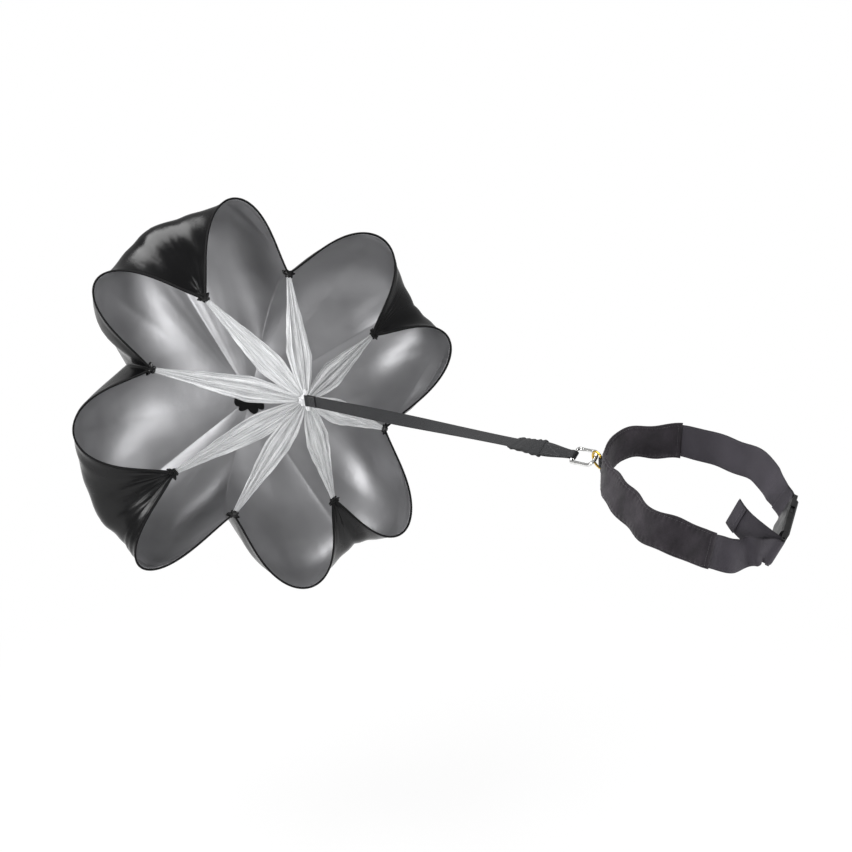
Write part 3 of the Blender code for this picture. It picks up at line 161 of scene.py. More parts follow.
# %% [markdown]
# ## Patterns in real sizes
# Threads, ribs, pleats and scuffs could be painted as pictures, but a picture has one
# resolution and has to be wrapped round each piece. Sums of sines and noise are sharp at any
# distance, and their scale is a real size in millimetres. In a Map Range node, the inputs 0
# to 4 are the value, the span that it has and the span that it gets. In a Mix node set to
# colours, the inputs 0, 6 and 7 are the share and the two colours, and output 2 is the result.

# %% Patterns that the materials share


def waves(tree, coordinates, millimetres, direction):
    """Sine of the dot product with a direction: a full turn every so many millimetres."""
    step = 2 * math.pi / (millimetres / 1000)
    along = put(tree, "ShaderNodeVectorMath", {0: coordinates, 1: [step * d for d in direction]},
                "Value", operation="DOT_PRODUCT")
    return put(tree, "ShaderNodeMath", {0: along}, operation="SINE")


def blotches(tree, millimetres, detail=2.0, coordinates=None):
    """Soft noise, on object coordinates, in blobs about so many millimetres across."""
    if coordinates is None:
        coordinates = put(tree, "ShaderNodeTexCoord", output="Object")
    return put(tree, "ShaderNodeTexNoise", {"Vector": coordinates, "Scale": 1000 / millimetres,
                                            "Detail": detail})


def two_tone(tree, pattern, low, high, dark, light):
    """Dark where the pattern is under low, light where it is over high, mixed between."""
    share = put(tree, "ShaderNodeMapRange", {0: pattern, 1: low, 2: high})
    return put(tree, "ShaderNodeMix", {0: share, 6: linear(dark), 7: linear(light)}, 2,
               data_type="RGBA")


def sum_of(tree, first, *others):
    """The first pattern plus each of the others times its share."""
    total = first
    for pattern, share in others:
        total = put(tree, "ShaderNodeMath", {0: pattern, 1: share, 2: total},
                    operation="MULTIPLY_ADD")
    return total


print("mid grey in linear light:", round(float(linear("#808080")[0]), 3))

# %% [markdown]
# ## The cloth's two faces
# The canopy is plain-woven nylon taffeta. Inside it has a silver polyurethane coating, which
# gives wide soft highlights like satin paint. Outside it is the bare black weave, glossy
# where it is stretched. Real threads are 0.15 mm apart, too fine for any picture, so the
# weave is drawn at 1.4 mm with a very low bump, and broad creases from packing lie over it.

# %% Materials of the canopy
WEAVE_MM, WEAVE_DEPTH_MM = 1.4, 0.03
CREASE_DEPTH_MM = 2.2


def cloth_relief(tree, crease_mm):
    """Weave: two crossed sines multiplied, on the UV map in metres. Creases: noise over it."""
    uv = put(tree, "ShaderNodeUVMap", uv_map="cloth")
    warp, weft = (waves(tree, uv, WEAVE_MM, way) for way in ((1, 0, 0), (0, 1, 0)))
    weave = put(tree, "ShaderNodeMath", {0: warp, 1: weft}, operation="MULTIPLY")
    fine = put(tree, "ShaderNodeBump", {"Height": weave, "Distance": WEAVE_DEPTH_MM / 1000,
                                        "Strength": 0.35})
    return put(tree, "ShaderNodeBump", {"Height": blotches(tree, crease_mm, 3.0), "Normal": fine,
                                        "Distance": CREASE_DEPTH_MM / 1000, "Strength": 0.30})


def silver_coating():
    """Silver polyurethane on nylon: half metallic, satin, with faint clouds in its colour."""
    material, tree = new_material("silver_coated_nylon", 0.38, 0.60)
    clouds = blotches(tree, 120)
    rough = put(tree, "ShaderNodeMapRange", {0: clouds, 1: 0.3, 2: 0.7, 3: 0.35, 4: 0.41})
    return finish(material, Base_Color=two_tone(tree, clouds, 0.3, 0.7, "#88888a", "#969698"),
                  Roughness=rough, Normal=cloth_relief(tree, 46))


def black_taffeta():
    """Black nylon weave: dark, with a tight gloss that pleats break into streaks."""
    material, tree = new_material("black_nylon_taffeta", 0.22, Specular_IOR_Level=0.22)
    clouds = blotches(tree, 90)
    rough = put(tree, "ShaderNodeMapRange", {0: clouds, 1: 0.3, 2: 0.7, 3: 0.18, 4: 0.30})
    return finish(material, Base_Color=two_tone(tree, clouds, 0, 1, "#050506", "#0b0b0c"),
                  Roughness=rough, Normal=cloth_relief(tree, 38))


SILVER = silver_coating()
TAFFETA = black_taffeta()
print("canopy finishes:", SILVER.name, TAFFETA.name)

# %% [markdown]
# ## Tape, thread and net
# The hem tape is a narrow grosgrain: black polyester with ribs across it. The thread is
# spun polyester. The bridle is warp-knitted net: its holes are about 2.4 mm apart and let
# some of what is behind show. To model them takes about a hundred thousand faces a band, so
# they are cut by the material's alpha. Bunched tight, the same net shows only ribs.

# %% Materials of the tape, the thread and the net
NET_ROW_MM = 2.1


def grosgrain_tape(name, dark, light, rib_mm):
    """Ribs across the tape, one a period, with painted shade: the colour is a little darker in the
    grooves between them.
    """
    material, tree = new_material(name, 0.55, Specular_IOR_Level=0.15)
    uv = put(tree, "ShaderNodeUVMap", uv_map="cloth")
    ribs = put(tree, "ShaderNodeMapRange", {0: waves(tree, uv, rib_mm, (0, 1, 0)), 1: -1, 2: 1})
    # The ribs also set the colour: painted shade, darker in the grooves between the ribs.
    return finish(material, ribs, 0.25, Base_Color=two_tone(tree, ribs, 0, 1, dark, light))


def spun_thread(name, dark, light):
    """Thread: two plies twisted once every 1.2 mm, matt, with a little fuzz, and painted shade darker
    in the grooves between the plies.
    """
    material, tree = new_material(name, 0.7, Sheen_Weight=0.3)
    place = put(tree, "ShaderNodeTexCoord", output="Object")
    plies = put(tree, "ShaderNodeMapRange", {0: waves(tree, place, 1.2, (0.6, 0.5, 0.62)),
                                             1: -1, 2: 1})
    # The plies also set the colour: painted shade, darker in the grooves between them.
    return finish(material, plies, 0.1, Base_Color=two_tone(tree, plies, 0, 1, dark, light))


def knitted_net():
    """Net: three sines at 60 degrees make a field of hexagonal holes, cut out by alpha. Its colour has
    painted light and shade of folds: lighter and darker streaks along the band.
    """
    material, tree = new_material("polyester_net", 0.75, Sheen_Weight=0.25)
    uv = put(tree, "ShaderNodeUVMap", uv_map="cloth")
    rows = [waves(tree, uv, NET_ROW_MM, (math.cos(turn), math.sin(turn), 0))
            for turn in (0, math.pi / 3, 2 * math.pi / 3)]
    field = sum_of(tree, rows[0], (rows[1], 1), (rows[2], 1))
    holes = put(tree, "ShaderNodeMapRange", {0: field, 1: 0.9, 2: 1.3, 3: 1.0, 4: 0.12})
    # Painted light and shade of the net's folds: noise stretched along the band gives lighter and
    # darker streaks in the colour.
    long_way = put(tree, "ShaderNodeVectorMath", {0: uv, 1: (1, 0.05, 1)}, operation="MULTIPLY")
    folds = blotches(tree, 4.5, 3.0, long_way)
    return finish(material, field, 0.15, 0.5, Alpha=holes,
                  Base_Color=two_tone(tree, folds, 0.35, 0.65, "#aaabad", "#dadbdc"))


def gathered_net():
    """The same net bunched tight: no holes are left, only ribs along the bunch, with painted shade
    darker in the grooves between them.
    """
    material, tree = new_material("gathered_polyester_net", 0.8, Sheen_Weight=0.25)
    ribs = sum_of(tree, blotches(tree, 2.5, 3.0), (blotches(tree, 0.8), 0.4))
    # Painted shade: the colour follows the ribs, darker in their grooves.
    return finish(material, ribs, 0.8,
                  Base_Color=two_tone(tree, ribs, 0.5, 0.9, "#a8a9ab", "#ececee"))


HEM_TAPE = grosgrain_tape("black_hem_tape", "#030304", "#0a0a0b", 1.5)
# Pale grey thread for the hem: real stitches, whose light colour also paints the glint along the hem's
# inner edge.
GREY_THREAD_PAINTED_GLINT = spun_thread("grey_thread_and_painted_glint", "#a8a8ab", "#dcdce0")
BLACK_THREAD = spun_thread("black_polyester_thread", "#232225", "#4b494e")
NET, GATHERED_NET = knitted_net(), gathered_net()
print("net holes are", round(NET_ROW_MM / math.sin(math.pi / 3), 2), "mm apart")

# %% [markdown]
# ## Webbing and sleeve cloth
# The tether is a heavy polypropylene webbing with slanting ribs, as twill has, and darker
# edges. The belt's webbing is finer and softer. The sleeve is brushed polyester over a thin
# foam, so its surface is matt and slightly furry, and it puckers beside its seams. Modelled
# threads would double the faces of the whole scene, so ribs and fur are relief on a surface.

# %% Materials of the webbing and of the sleeve
SELVEDGE_MM = (2.2, 1.2)      # where the darker edge begins and where it is full


def webbing_finish(name, dark, light, warp_mm, slant_mm, half_width_mm, edge):
    """Slanting ribs from one sine, warp bundles from another, and darker selvedges. The colour follows
    the ribs too: painted shade, darker in their grooves.
    """
    material, tree = new_material(name, 0.66, Sheen_Weight=0.04, Specular_IOR_Level=0.3)
    uv = put(tree, "ShaderNodeUVMap", uv_map="cloth")
    slant, warp = waves(tree, uv, slant_mm, (0.55, 1, 0)), waves(tree, uv, warp_mm, (1, 0, 0))
    ribs = put(tree, "ShaderNodeMapRange", {0: sum_of(tree, slant, (warp, 0.6)), 1: -1.6, 2: 1.6})
    # Painted shade: the colour follows the ribs, darker in their grooves. The blotches of 35 mm add
    # tone at random, as wear.
    worn = put(tree, "ShaderNodeMapRange", {0: sum_of(tree, ribs, (blotches(tree, 35), 0.8)),
                                            1: 0.2, 2: 1.4})
    across = put(tree, "ShaderNodeSeparateXYZ", {0: uv}, "X")
    side = put(tree, "ShaderNodeMath", {0: across}, operation="ABSOLUTE")
    first, full = ((half_width_mm - mm) / 1000 for mm in SELVEDGE_MM)
    inner = put(tree, "ShaderNodeMapRange", {0: side, 1: first, 2: full, 3: 1, 4: edge})
    shade = put(tree, "ShaderNodeMath", {0: worn, 1: inner}, operation="MULTIPLY")
    return finish(material, ribs, 0.45, 0.9, Base_Color=two_tone(tree, shade, 0, 1, dark, light))


def sleeve_cloth():
    """Brushed polyester: soft mottled colour, a fine felted bump, sheen at grazing angles."""
    material, tree = new_material("brushed_polyester", 0.85, Sheen_Weight=0.12,
                                  Sheen_Roughness=0.5, Specular_IOR_Level=0.3)
    mottled = sum_of(tree, blotches(tree, 26), (blotches(tree, 1.3), 0.5))
    fur = put(tree, "ShaderNodeBump", {"Height": blotches(tree, 0.9, 3.0), "Distance": 0.35 / 1000,
                                       "Strength": 0.7})
    dents = put(tree, "ShaderNodeBump", {"Height": blotches(tree, 12), "Distance": 2.0 / 1000,
                                         "Strength": 0.45, "Normal": fur})
    return finish(material, Base_Color=two_tone(tree, mottled, 0.5, 1.0, "#171418", "#2e292f"),
                  Normal=dents)


TETHER_WEBBING = webbing_finish("tether_polypropylene", "#08080a", "#1f2023", 2.4, 2.6, 12.5, 0.25)
BELT_WEBBING = webbing_finish("belt_polypropylene", "#1d1b1f", "#3d3941", 1.5, 1.8, 25.0, 0.55)
SLEEVE = sleeve_cloth()
print("webbing finishes:", TETHER_WEBBING.name, BELT_WEBBING.name, SLEEVE.name)

# %% [markdown]
# ## Plastic and metal
# The buckle is moulded acetal, black and slightly waxy, with the fine grain of a spark-eroded
# mould. The hook is nickel-plated steel, polished and then scuffed by use. The ring is brass
# plated: warmer in colour and a little rougher. One even colour would look like a toy, so
# noise varies the roughness, and that is what the eye reads as wear.

# %% Materials of the buckle, the hook and the ring


def moulded_acetal():
    """Acetal: low sheen, mould grain of about 0.4 mm, and paler rubbed patches."""
    material, tree = new_material("black_acetal", 0.38, IOR=1.48)
    rubbed = blotches(tree, 18, 3.0)
    rough = put(tree, "ShaderNodeMapRange", {0: rubbed, 1: 0.3, 2: 0.7, 3: 0.30, 4: 0.45})
    return finish(material, blotches(tree, 0.4), 0.05, 0.5, Roughness=rough,
                  Base_Color=two_tone(tree, rubbed, 0.45, 0.75, "#101011", "#242425"))


def plated_metal(name, base, worn, roughness):
    """Plating: even colour with faint scuffs, which raise the roughness in patches."""
    material, tree = new_material(name, roughness, 1.0)
    scuffs = blotches(tree, 5, 4.0)
    rough = put(tree, "ShaderNodeMapRange", {0: scuffs, 1: 0.3, 2: 0.8, 3: roughness,
                                             4: roughness + 0.18})
    return finish(material, blotches(tree, 1.1, 3.0), 0.02, 0.5, Roughness=rough,
                  Base_Color=two_tone(tree, scuffs, 0.35, 0.75, base, worn))


ACETAL = moulded_acetal()
NICKEL = plated_metal("nickel_plated_steel", "#e4e4e2", "#b9b9b8", 0.12)
BRASS = plated_metal("brass_plated_wire", "#d8b24a", "#a98a35", 0.22)
print("plastic and metal:", ACETAL.name, NICKEL.name, BRASS.name)

# %% [markdown]
# ## Surfaces from grids
# A fabric piece can be pulled into shape by hand, or simulated. Here the air and the sewing
# fix the shape, so a formula gives it directly: each piece is a grid of points, worked out
# as one array. Its faces come from the grid's own numbering, and its UV map holds real
# metres on the cloth, so that a pattern keeps its size. These helpers make the meshes.

# %% Helpers for directions and lines
UP = np.array((0.0, 0.0, 1.0))
SIDE = np.array((0.0, 1.0, 0.0))


def unit(vectors):
    """Each vector divided by its length."""
    vectors = np.asarray(vectors, float)
    return vectors / np.maximum(np.linalg.norm(vectors, axis=-1, keepdims=True), 1e-12)


def square_to(vectors, axis):
    """What is left of the vectors when their part along the axis is taken off, made unit."""
    axis = unit(axis)
    return unit(vectors - (vectors * axis).sum(-1, keepdims=True) * axis)


def smooth_step(share):
    """3s^2 - 2s^3 between 0 and 1, and flat outside."""
    share = np.clip(share, 0.0, 1.0)
    return share * share * (3 - 2 * share)


def ripple(place, *parts):
    """Sum of sines: each part is a height, turns in radians a unit of place, and a start."""
    return sum(height * np.sin(turns * place + start) for height, turns, start in parts)


def rounded_end(distance, reach, least=0.0):
    """A quarter circle: the share of the full size at a distance from an end."""
    return np.sqrt(np.clip(1 - (1 - np.clip(distance / reach, 0, 1)) ** 2, least, 1))


def run_of(points):
    """Distance along a line at each of its points."""
    return np.concatenate(([0.0], np.cumsum(np.linalg.norm(np.diff(points, axis=0), axis=1))))


def read_at(values, run, where):
    """Values of a line's points, read between them in straight steps."""
    values = np.broadcast_to(values, (len(run), 3))
    return np.stack([np.interp(where, run, values[:, i]) for i in range(3)], axis=-1)


def at_distance(points, distance):
    """Points so far along a line."""
    return read_at(points, run_of(points), distance)


def smooth_line(points, per_span=16):
    """Natural cubic spline: bending is even through each point and nought at the ends."""
    points = np.asarray(points, float)
    span = np.linalg.norm(np.diff(points, axis=0), axis=1)
    inner = np.arange(1, len(points) - 1)
    system = np.eye(len(points))
    system[inner, inner - 1] = span[:-1]
    system[inner, inner] = 2 * (span[:-1] + span[1:])
    system[inner, inner + 1] = span[1:]
    right = np.zeros((len(points), 3))
    right[1:-1] = 6 * np.diff(np.diff(points, axis=0) / span[:, None], axis=0)
    bend = np.linalg.solve(system, right)
    share = np.linspace(0, 1, per_span, endpoint=False)[None, :, None]
    low, high, h = points[:-1, None], points[1:, None], span[:, None, None]
    curve = low * (1 - share) + high * share
    curve = curve + h * h / 6 * (((1 - share) ** 3 - (1 - share)) * bend[:-1, None]
                                 + (share ** 3 - share) * bend[1:, None])
    return np.vstack((curve.reshape(-1, 3), points[-1:]))


print("smooth step at a quarter of the way:", round(float(smooth_step(0.25)), 3))

# %% Helpers for meshes


def grid_faces(rows, columns, wrap_rows=False, wrap_columns=False):
    """Quads of a grid: each joins a point, its neighbour and the two beside them."""
    r = np.arange(rows if wrap_rows else rows - 1)
    c = np.arange(columns if wrap_columns else columns - 1)
    r, c = np.meshgrid(r, c, indexing="ij")
    r2, c2 = (r + 1) % rows, (c + 1) % columns
    quads = np.stack((r * columns + c, r * columns + c2, r2 * columns + c2, r2 * columns + c), -1)
    return quads.reshape(-1, 4)


def make_piece(name, points, faces, materials, uv=None, slots=None, body=None, stands_for=()):
    """Puts arrays into a mesh object. Faces are lists, UV is metres at each point."""
    mesh = bpy.data.meshes.new(name)
    faces = [list(map(int, face)) for face in faces]
    mesh.from_pydata(np.asarray(points, float).reshape(-1, 3).tolist(), [], faces)
    for material in materials:
        mesh.materials.append(material)
    if slots is not None:
        mesh.polygons.foreach_set("material_index", np.asarray(slots, np.int32))
    if uv is not None:
        corner = np.empty(len(mesh.loops), np.int32)
        mesh.loops.foreach_get("vertex_index", corner)
        layer = mesh.uv_layers.new(name="cloth")
        layer.data.foreach_set("uv", np.asarray(uv, np.float32).reshape(-1, 2)[corner].ravel())
    mesh.polygons.foreach_set("use_smooth", np.ones(len(mesh.polygons), bool))
    mesh.update()
    piece = bpy.data.objects.new(name, mesh)
    bpy.context.scene.collection.objects.link(piece)
    if body:
        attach(piece, body)
    if stands_for:
        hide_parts(*stands_for)
    return piece


def outward(piece):
    """Turns a closed mesh's faces so that they all point out."""
    shape = bmesh.new()
    shape.from_mesh(piece.data)
    bmesh.ops.recalc_face_normals(shape, faces=shape.faces)
    shape.to_mesh(piece.data)
    shape.free()
    return piece


def loft(name, rings, materials, uv=None, closed=False, **options):
    """A skin through rings of points, each ring closed; open ends get flat caps."""
    rows, columns = rings.shape[:2]
    faces = list(grid_faces(rows, columns, closed, True))
    if not closed:
        faces += [np.arange(columns)[::-1], np.arange(columns) + (rows - 1) * columns]
    return outward(make_piece(name, rings, faces, materials, uv, **options))


def tell(*pieces):
    """Prints each piece's size in millimetres and its number of faces."""
    for piece in pieces:
        place = np.empty(3 * len(piece.data.vertices), np.float32)
        piece.data.vertices.foreach_get("co", place)
        size = 1000 * np.ptp(place.reshape(-1, 3), axis=0)
        print(piece.name, "x".join("%.1f" % s for s in size), "mm,",
              len(piece.data.polygons), "faces")


print("faces of a small grid:", len(grid_faces(4, 5)))

# %% [markdown]
# ## The canopy's own geometry
# The cloth is a square of about 1 m, whose corners and side middles are drawn in to eight
# points. Air then blows it out into eight lobes. Each meridian, from the apex to the rim,
# is a cubic Bezier curve: level at the apex, out towards a swelling point, and on to the
# rim. The rim of a lobe swells from the line between its two gathers as a cosine does. A
# cloth simulation could blow the cloth up instead, but it wouldn't meet the solid model.

# %% Sizes of the canopy, in metres and degrees
GORES = 8
CANOPY_YAW, CANOPY_PITCH, CANOPY_ROLL = -11.6, 22.4, 115.4
BRIDLE_HEIGHT = 0.463
CANOPY_DEPTH = 0.280
GATHER_RADIUS, LOBE_RADIUS = 0.310, 0.500
GATHER_RADII = GATHER_RADIUS * np.array((0.96, 1.02, 1.01, 0.99, 0.99, 0.98, 0.98, 0.98))
LOBE_RADII = LOBE_RADIUS * np.array((1.02, 1.01, 1.01, 1.00, 0.99, 0.985, 1.045, 0.97))
GATHER_TURNS = np.array((1.0, 4.0, -1.0, -2.0, 0.0, -5.0, 5.0, -1.0))
LOBE_TURNS = np.array((0.5, 1.0, -1.0, 6.0, -8.0, 2.0, -2.0, 1.0))
BULGES = np.array((0.820, 0.345, 0.7216, 0.345, 0.6888, 0.36225, 0.8118, 0.4416))
LOBE_BULGE = 0.480
BULGE_POWER = 1.2
# Swelling points: shares of the depth and of the bulge, for the lobe, a side and a corner
BACK_SHARES = (0.66, 0.58, 0.48)
LEVEL_SHARES = (0.66, 0.60, 0.32)
LOBE_SETBACK = 0.030
RIM_PINCH, RIM_POWER = 0.14, 2.4
PLEAT_HEIGHT = 0.0035

pitch_angle = 2 * math.pi / GORES
number = np.arange(GORES)
gather_angles = math.radians(CANOPY_ROLL) - number * pitch_angle + np.radians(GATHER_TURNS)
lobe_angles = math.radians(CANOPY_ROLL) + (0.5 - number) * pitch_angle + np.radians(LOBE_TURNS)


def polar(radius, angle, height):
    """Points at a radius, an angle and a height."""
    radius, angle, height = np.broadcast_arrays(radius, angle, height)
    return np.stack((radius * np.cos(angle), radius * np.sin(angle), height), -1)


gathers = polar(GATHER_RADII, gather_angles, np.zeros(GORES))
tips = polar(LOBE_RADII, lobe_angles, np.full(GORES, -LOBE_SETBACK))
head = np.array(joints["canopy_sway"]["pos_m"])
yaw, tilt = math.radians(CANOPY_YAW), math.radians(CANOPY_PITCH)
canopy_axis = np.array((math.cos(yaw) * math.cos(tilt), math.sin(yaw) * math.cos(tilt),
                        math.sin(tilt)))
canopy_right = unit(np.cross(UP, canopy_axis))
canopy_up = np.cross(canopy_axis, canopy_right)
canopy_middle = head - BRIDLE_HEIGHT * canopy_axis


def from_canopy(points):
    """From the canopy's own frame, whose z leaves the mouth, to the shared frame."""
    return (canopy_middle + points[..., 0:1] * canopy_right + points[..., 1:2] * canopy_up
            + points[..., 2:3] * canopy_axis)


def rim_points(gore, share):
    """Rim of a lobe, share -1 to 1: a cosine swell out, and sides drawn in at the gathers."""
    first, second = gathers[gore - 1], gathers[gore]
    swell = np.cos(share * math.pi / 2)
    side = (1 - RIM_PINCH) * np.sqrt(np.maximum(1 - swell ** RIM_POWER, 0))
    side = np.sign(share) * (side + RIM_PINCH * (1 - swell) ** 4)
    middle = (first + second) / 2
    return middle + swell[..., None] * (tips[gore] - middle) + side[..., None] * (second - first) / 2


def cloth_points(place, height):
    """Cloth: place counts lobes round the rim, height is 0 at the apex and 1 at the rim.

    Each meridian is a cubic Bezier curve. Its swelling points go from the lobe's to the
    gather's with a power of the place between them, and a corner has fine pleats beside it.
    """
    place, u = np.broadcast_arrays(np.mod(place, GORES), height)
    gore = np.floor(place).astype(int) % GORES
    s = 2 * (place - np.floor(place)) - 1
    near = np.where(s < 0, (gore - 1) % GORES, gore)
    corner = 1 - near % 2
    turn = (gather_angles[near] - lobe_angles[gore] + math.pi) % (2 * math.pi) - math.pi
    angle = lobe_angles[gore] + np.abs(s) * turn
    weight = np.abs(s) ** BULGE_POWER
    reach = LOBE_BULGE * (1 - weight) + BULGES[near] * weight
    back = CANOPY_DEPTH * (BACK_SHARES[0] * (1 - weight) + np.take(BACK_SHARES, 1 + corner) * weight)
    flat = reach * (LEVEL_SHARES[0] * (1 - weight) + np.take(LEVEL_SHARES, 1 + corner) * weight)
    v = 1 - u
    points = ((v ** 3)[..., None] * polar(0 * s, angle, -CANOPY_DEPTH)
              + (3 * v * v * u)[..., None] * polar(flat, angle, -CANOPY_DEPTH)
              + (3 * v * u * u)[..., None] * polar(reach, angle, -back)
              + (u ** 3)[..., None] * rim_points(gore, s))
    beside = 1 - np.abs(s)
    fade = corner * u ** 3 * v * smooth_step((0.75 - beside) / 0.5) * smooth_step(beside / 0.06)
    return points + polar(4 * PLEAT_HEIGHT * fade * np.sin(5 * math.pi * beside), angle, 0 * s)


print("rim of the first lobe:",
      round(float(run_of(rim_points(0, np.linspace(-1, 1, 200)))[-1]), 3), "m")

# %% [markdown]
# ## Streaks beside the corners
# Outside, the stiff weave is crushed where a corner is drawn in. The streaks start at the
# gather, so they are noise that depends only on the direction from it: the place minus the
# gather, made one long. Each corner's streaks fade out with the distance from it.

# %% Streaks in the outer weave
STREAK_START = 0.02
STREAK_REACH = (0.22, 0.17, 0.13, 0.19)
STREAK_HEIGHT = 0.0045
STREAKS_A_RADIAN = 9.0


def add_streaks(material):
    """Height is the sum over the corners of noise of the direction times a fading share."""
    tree = material.node_tree
    normal = tree.nodes["Principled BSDF"].inputs["Normal"]
    place = put(tree, "ShaderNodeTexCoord", output="Object")
    streaks = []
    for corner, reach in zip(from_canopy(gathers)[::2], STREAK_REACH):
        away = put(tree, "ShaderNodeVectorMath", {0: place, 1: tuple(corner)}, operation="SUBTRACT")
        way = put(tree, "ShaderNodeVectorMath", {0: away}, operation="NORMALIZE")
        noise = put(tree, "ShaderNodeTexNoise", {"Vector": way, "Scale": STREAKS_A_RADIAN,
                                                 "Detail": 2.5})
        far = put(tree, "ShaderNodeVectorMath", {0: away}, "Value", operation="LENGTH")
        fade = put(tree, "ShaderNodeMapRange", {0: far, 1: STREAK_START, 2: reach, 3: 1, 4: 0})
        streaks.append((noise, fade))
    bump = put(tree, "ShaderNodeBump", {"Height": sum_of(tree, 0.0, *streaks), "Strength": 0.9,
                                        "Distance": STREAK_HEIGHT,
                                        "Normal": normal.links[0].from_socket})
    tree.links.new(bump, normal)
    return len(streaks)


print("corners with streaks:", add_streaks(TAFFETA))

# %% [markdown]
# ## Folds
# Cloth that is drawn in to a point falls into pleats that fan out from it: they are a
# triangle wave of the angle round the gather, which grows to its full height a few
# centimetres away and then dies out. A second kind is the tension crease: a straight pull
# from a gather to the rim, which the cloth on both sides leans against. A third is a faint
# billow all over, because no cloth is perfectly tight. Folds could be sculpted by hand, but
# as numbers in a table each one can be found, compared with the photograph and moved.

# %% Folds of the canopy
# for each gather: pleats in half a lobe, their height and their reach in metres
FAN_PLEATS = np.array((4.0, 3.0, 5.0, 3.0, 5.0, 3.0, 5.0, 3.0))
FAN_HEIGHTS = np.array((0.0026, 0.0008, 0.0016, 0.0008, 0.0018, 0.0008, 0.0020, 0.0008))
FAN_REACHES = np.array((0.062, 0.030, 0.036, 0.030, 0.040, 0.030, 0.042, 0.032))
# gore, share at its two ends, dip of the crease below the rim, height, half width in metres
CREASES = ((0, -1.0, -0.05, 0.13, 0.011, 0.045), (1, 0.05, 1.0, 0.09, 0.009, 0.035),
           (1, -0.2, 1.0, 0.20, 0.004, 0.028), (3, -0.1, 1.0, 0.15, 0.012, 0.045),
           (6, -0.3, 0.9, 0.12, 0.004, 0.020), (6, -0.45, 0.8, 0.08, 0.004, 0.018),
           (2, -0.5, 0.75, 0.035, 0.004, 0.014), (7, -0.9, 0.6, 0.10, 0.003, 0.030),
           (4, -1.0, 0.2, 0.11, 0.005, 0.035), (5, 0.1, 1.0, 0.12, 0.004, 0.030))
CLOTH_RUN = 0.52      # metres of cloth from the apex to the rim
BILLOW = 0.0009


def triangle_wave(turns):
    """Straight up and straight down once a turn, from -1 to 1."""
    return 2 * np.abs(2 * np.mod(turns, 1.0) - 1) - 1


def fold_heights(points, place, u):
    """How far each point of the cloth moves outwards: pleats plus creases plus billow.

    A pleat is a triangle wave of the place beside the gather, times a height that rises and
    dies out with the distance. A crease is a tent on a line, and the billow is three sines.
    """
    place, u = np.broadcast_arrays(np.mod(place, GORES), u)
    gore = np.floor(place).astype(int) % GORES
    s = 2 * (place - np.floor(place)) - 1
    near = np.where(s < 0, (gore - 1) % GORES, gore)
    beside = 1 - np.abs(s)
    away = np.linalg.norm(points - gathers[near], axis=-1) / FAN_REACHES[near]
    turns = FAN_PLEATS[near] * beside ** 0.8 + 0.37 * near + 0.21 * np.sign(s)
    fan = FAN_HEIGHTS[near] * (away * np.exp(1 - away)) ** 1.5 * triangle_wave(turns)
    fan = fan * (0.75 + 0.25 * np.sin(9 * beside + near)) * smooth_step(beside / 0.04)
    height = fan * smooth_step((0.95 - beside) / 0.4)
    for k, low, high, dip, tall, wide in CREASES:
        along = (s - low) / (high - low)
        inside = (gore == k) & (along > 0) & (along < 1)
        line = 1 - 4 * dip * along * (1 - along)
        tent = np.clip(1 - np.abs(u - line) * CLOTH_RUN / wide, 0, 1)
        height = height + np.where(inside, tall * tent * np.sin(math.pi * np.clip(along, 0, 1)), 0)
    x, y, z = points[..., 0], points[..., 1], points[..., 2]
    billow = (np.sin(31 * x + 17 * y + 3) + np.sin(23 * y - 29 * z + 1) + np.sin(41 * z + 13 * x))
    height = height + BILLOW * billow * smooth_step(u / 0.2)
    return height * smooth_step((1 - u) / 0.05)


sample = np.linspace(0, GORES, 800)[None, :], np.linspace(0.02, 1, 80)[:, None]
heights = fold_heights(cloth_points(*sample), *sample)
print("folds, mm:", round(1000 * float(heights.min()), 1), "to", round(1000 * float(heights.max()), 1))


# %% [markdown]
# ## One continuous sheet
# The canopy is sewn from one cloth, so it is one mesh: an outer skin of black weave and an
# inner skin of silver coating, 0.6 mm apart and joined along the rim. Both close
# on the apex in a single point. Its flat size is a square of about 1.05 m. Eight separate
# gores, as the solid model has, would show seams that the photograph doesn't have.

# %% The canopy
CLOTH_THICKNESS = 0.0006
CLOTH_STAND_OFF = 0.0004
GORE_COLUMNS = 60
MERIDIAN_ROWS = 78


def cloth_grid():
    """Places and heights of the grid: closer together beside the gathers and the rim."""
    column = np.linspace(-1, 1, GORE_COLUMNS, endpoint=False)
    share = column + 0.25 * np.sin(math.pi * column) / math.pi
    place = (number[:, None] + (1 + share) / 2).ravel()
    row = np.linspace(0, 1, MERIDIAN_ROWS + 1)[1:]
    return place[None, :], (1 - (1 - row) ** 1.25)[:, None]


def grid_normals(points):
    """Square to both directions of a grid that is closed round its columns."""
    wide = np.roll(points, -1, axis=1) - np.roll(points, 1, axis=1)
    return unit(np.cross(wide, np.gradient(points, axis=0)))


def folded_cloth(place, u):
    """Cloth with its folds, and its unit normals, which point out of the bowl."""
    points = cloth_points(place, u)
    normals = grid_normals(points)
    out = np.sign(((points - np.array((0, 0, -0.3 * CANOPY_DEPTH))) * normals).sum())
    points = points + (out * fold_heights(points, place, u))[..., None] * normals
    return points, out * grid_normals(points)


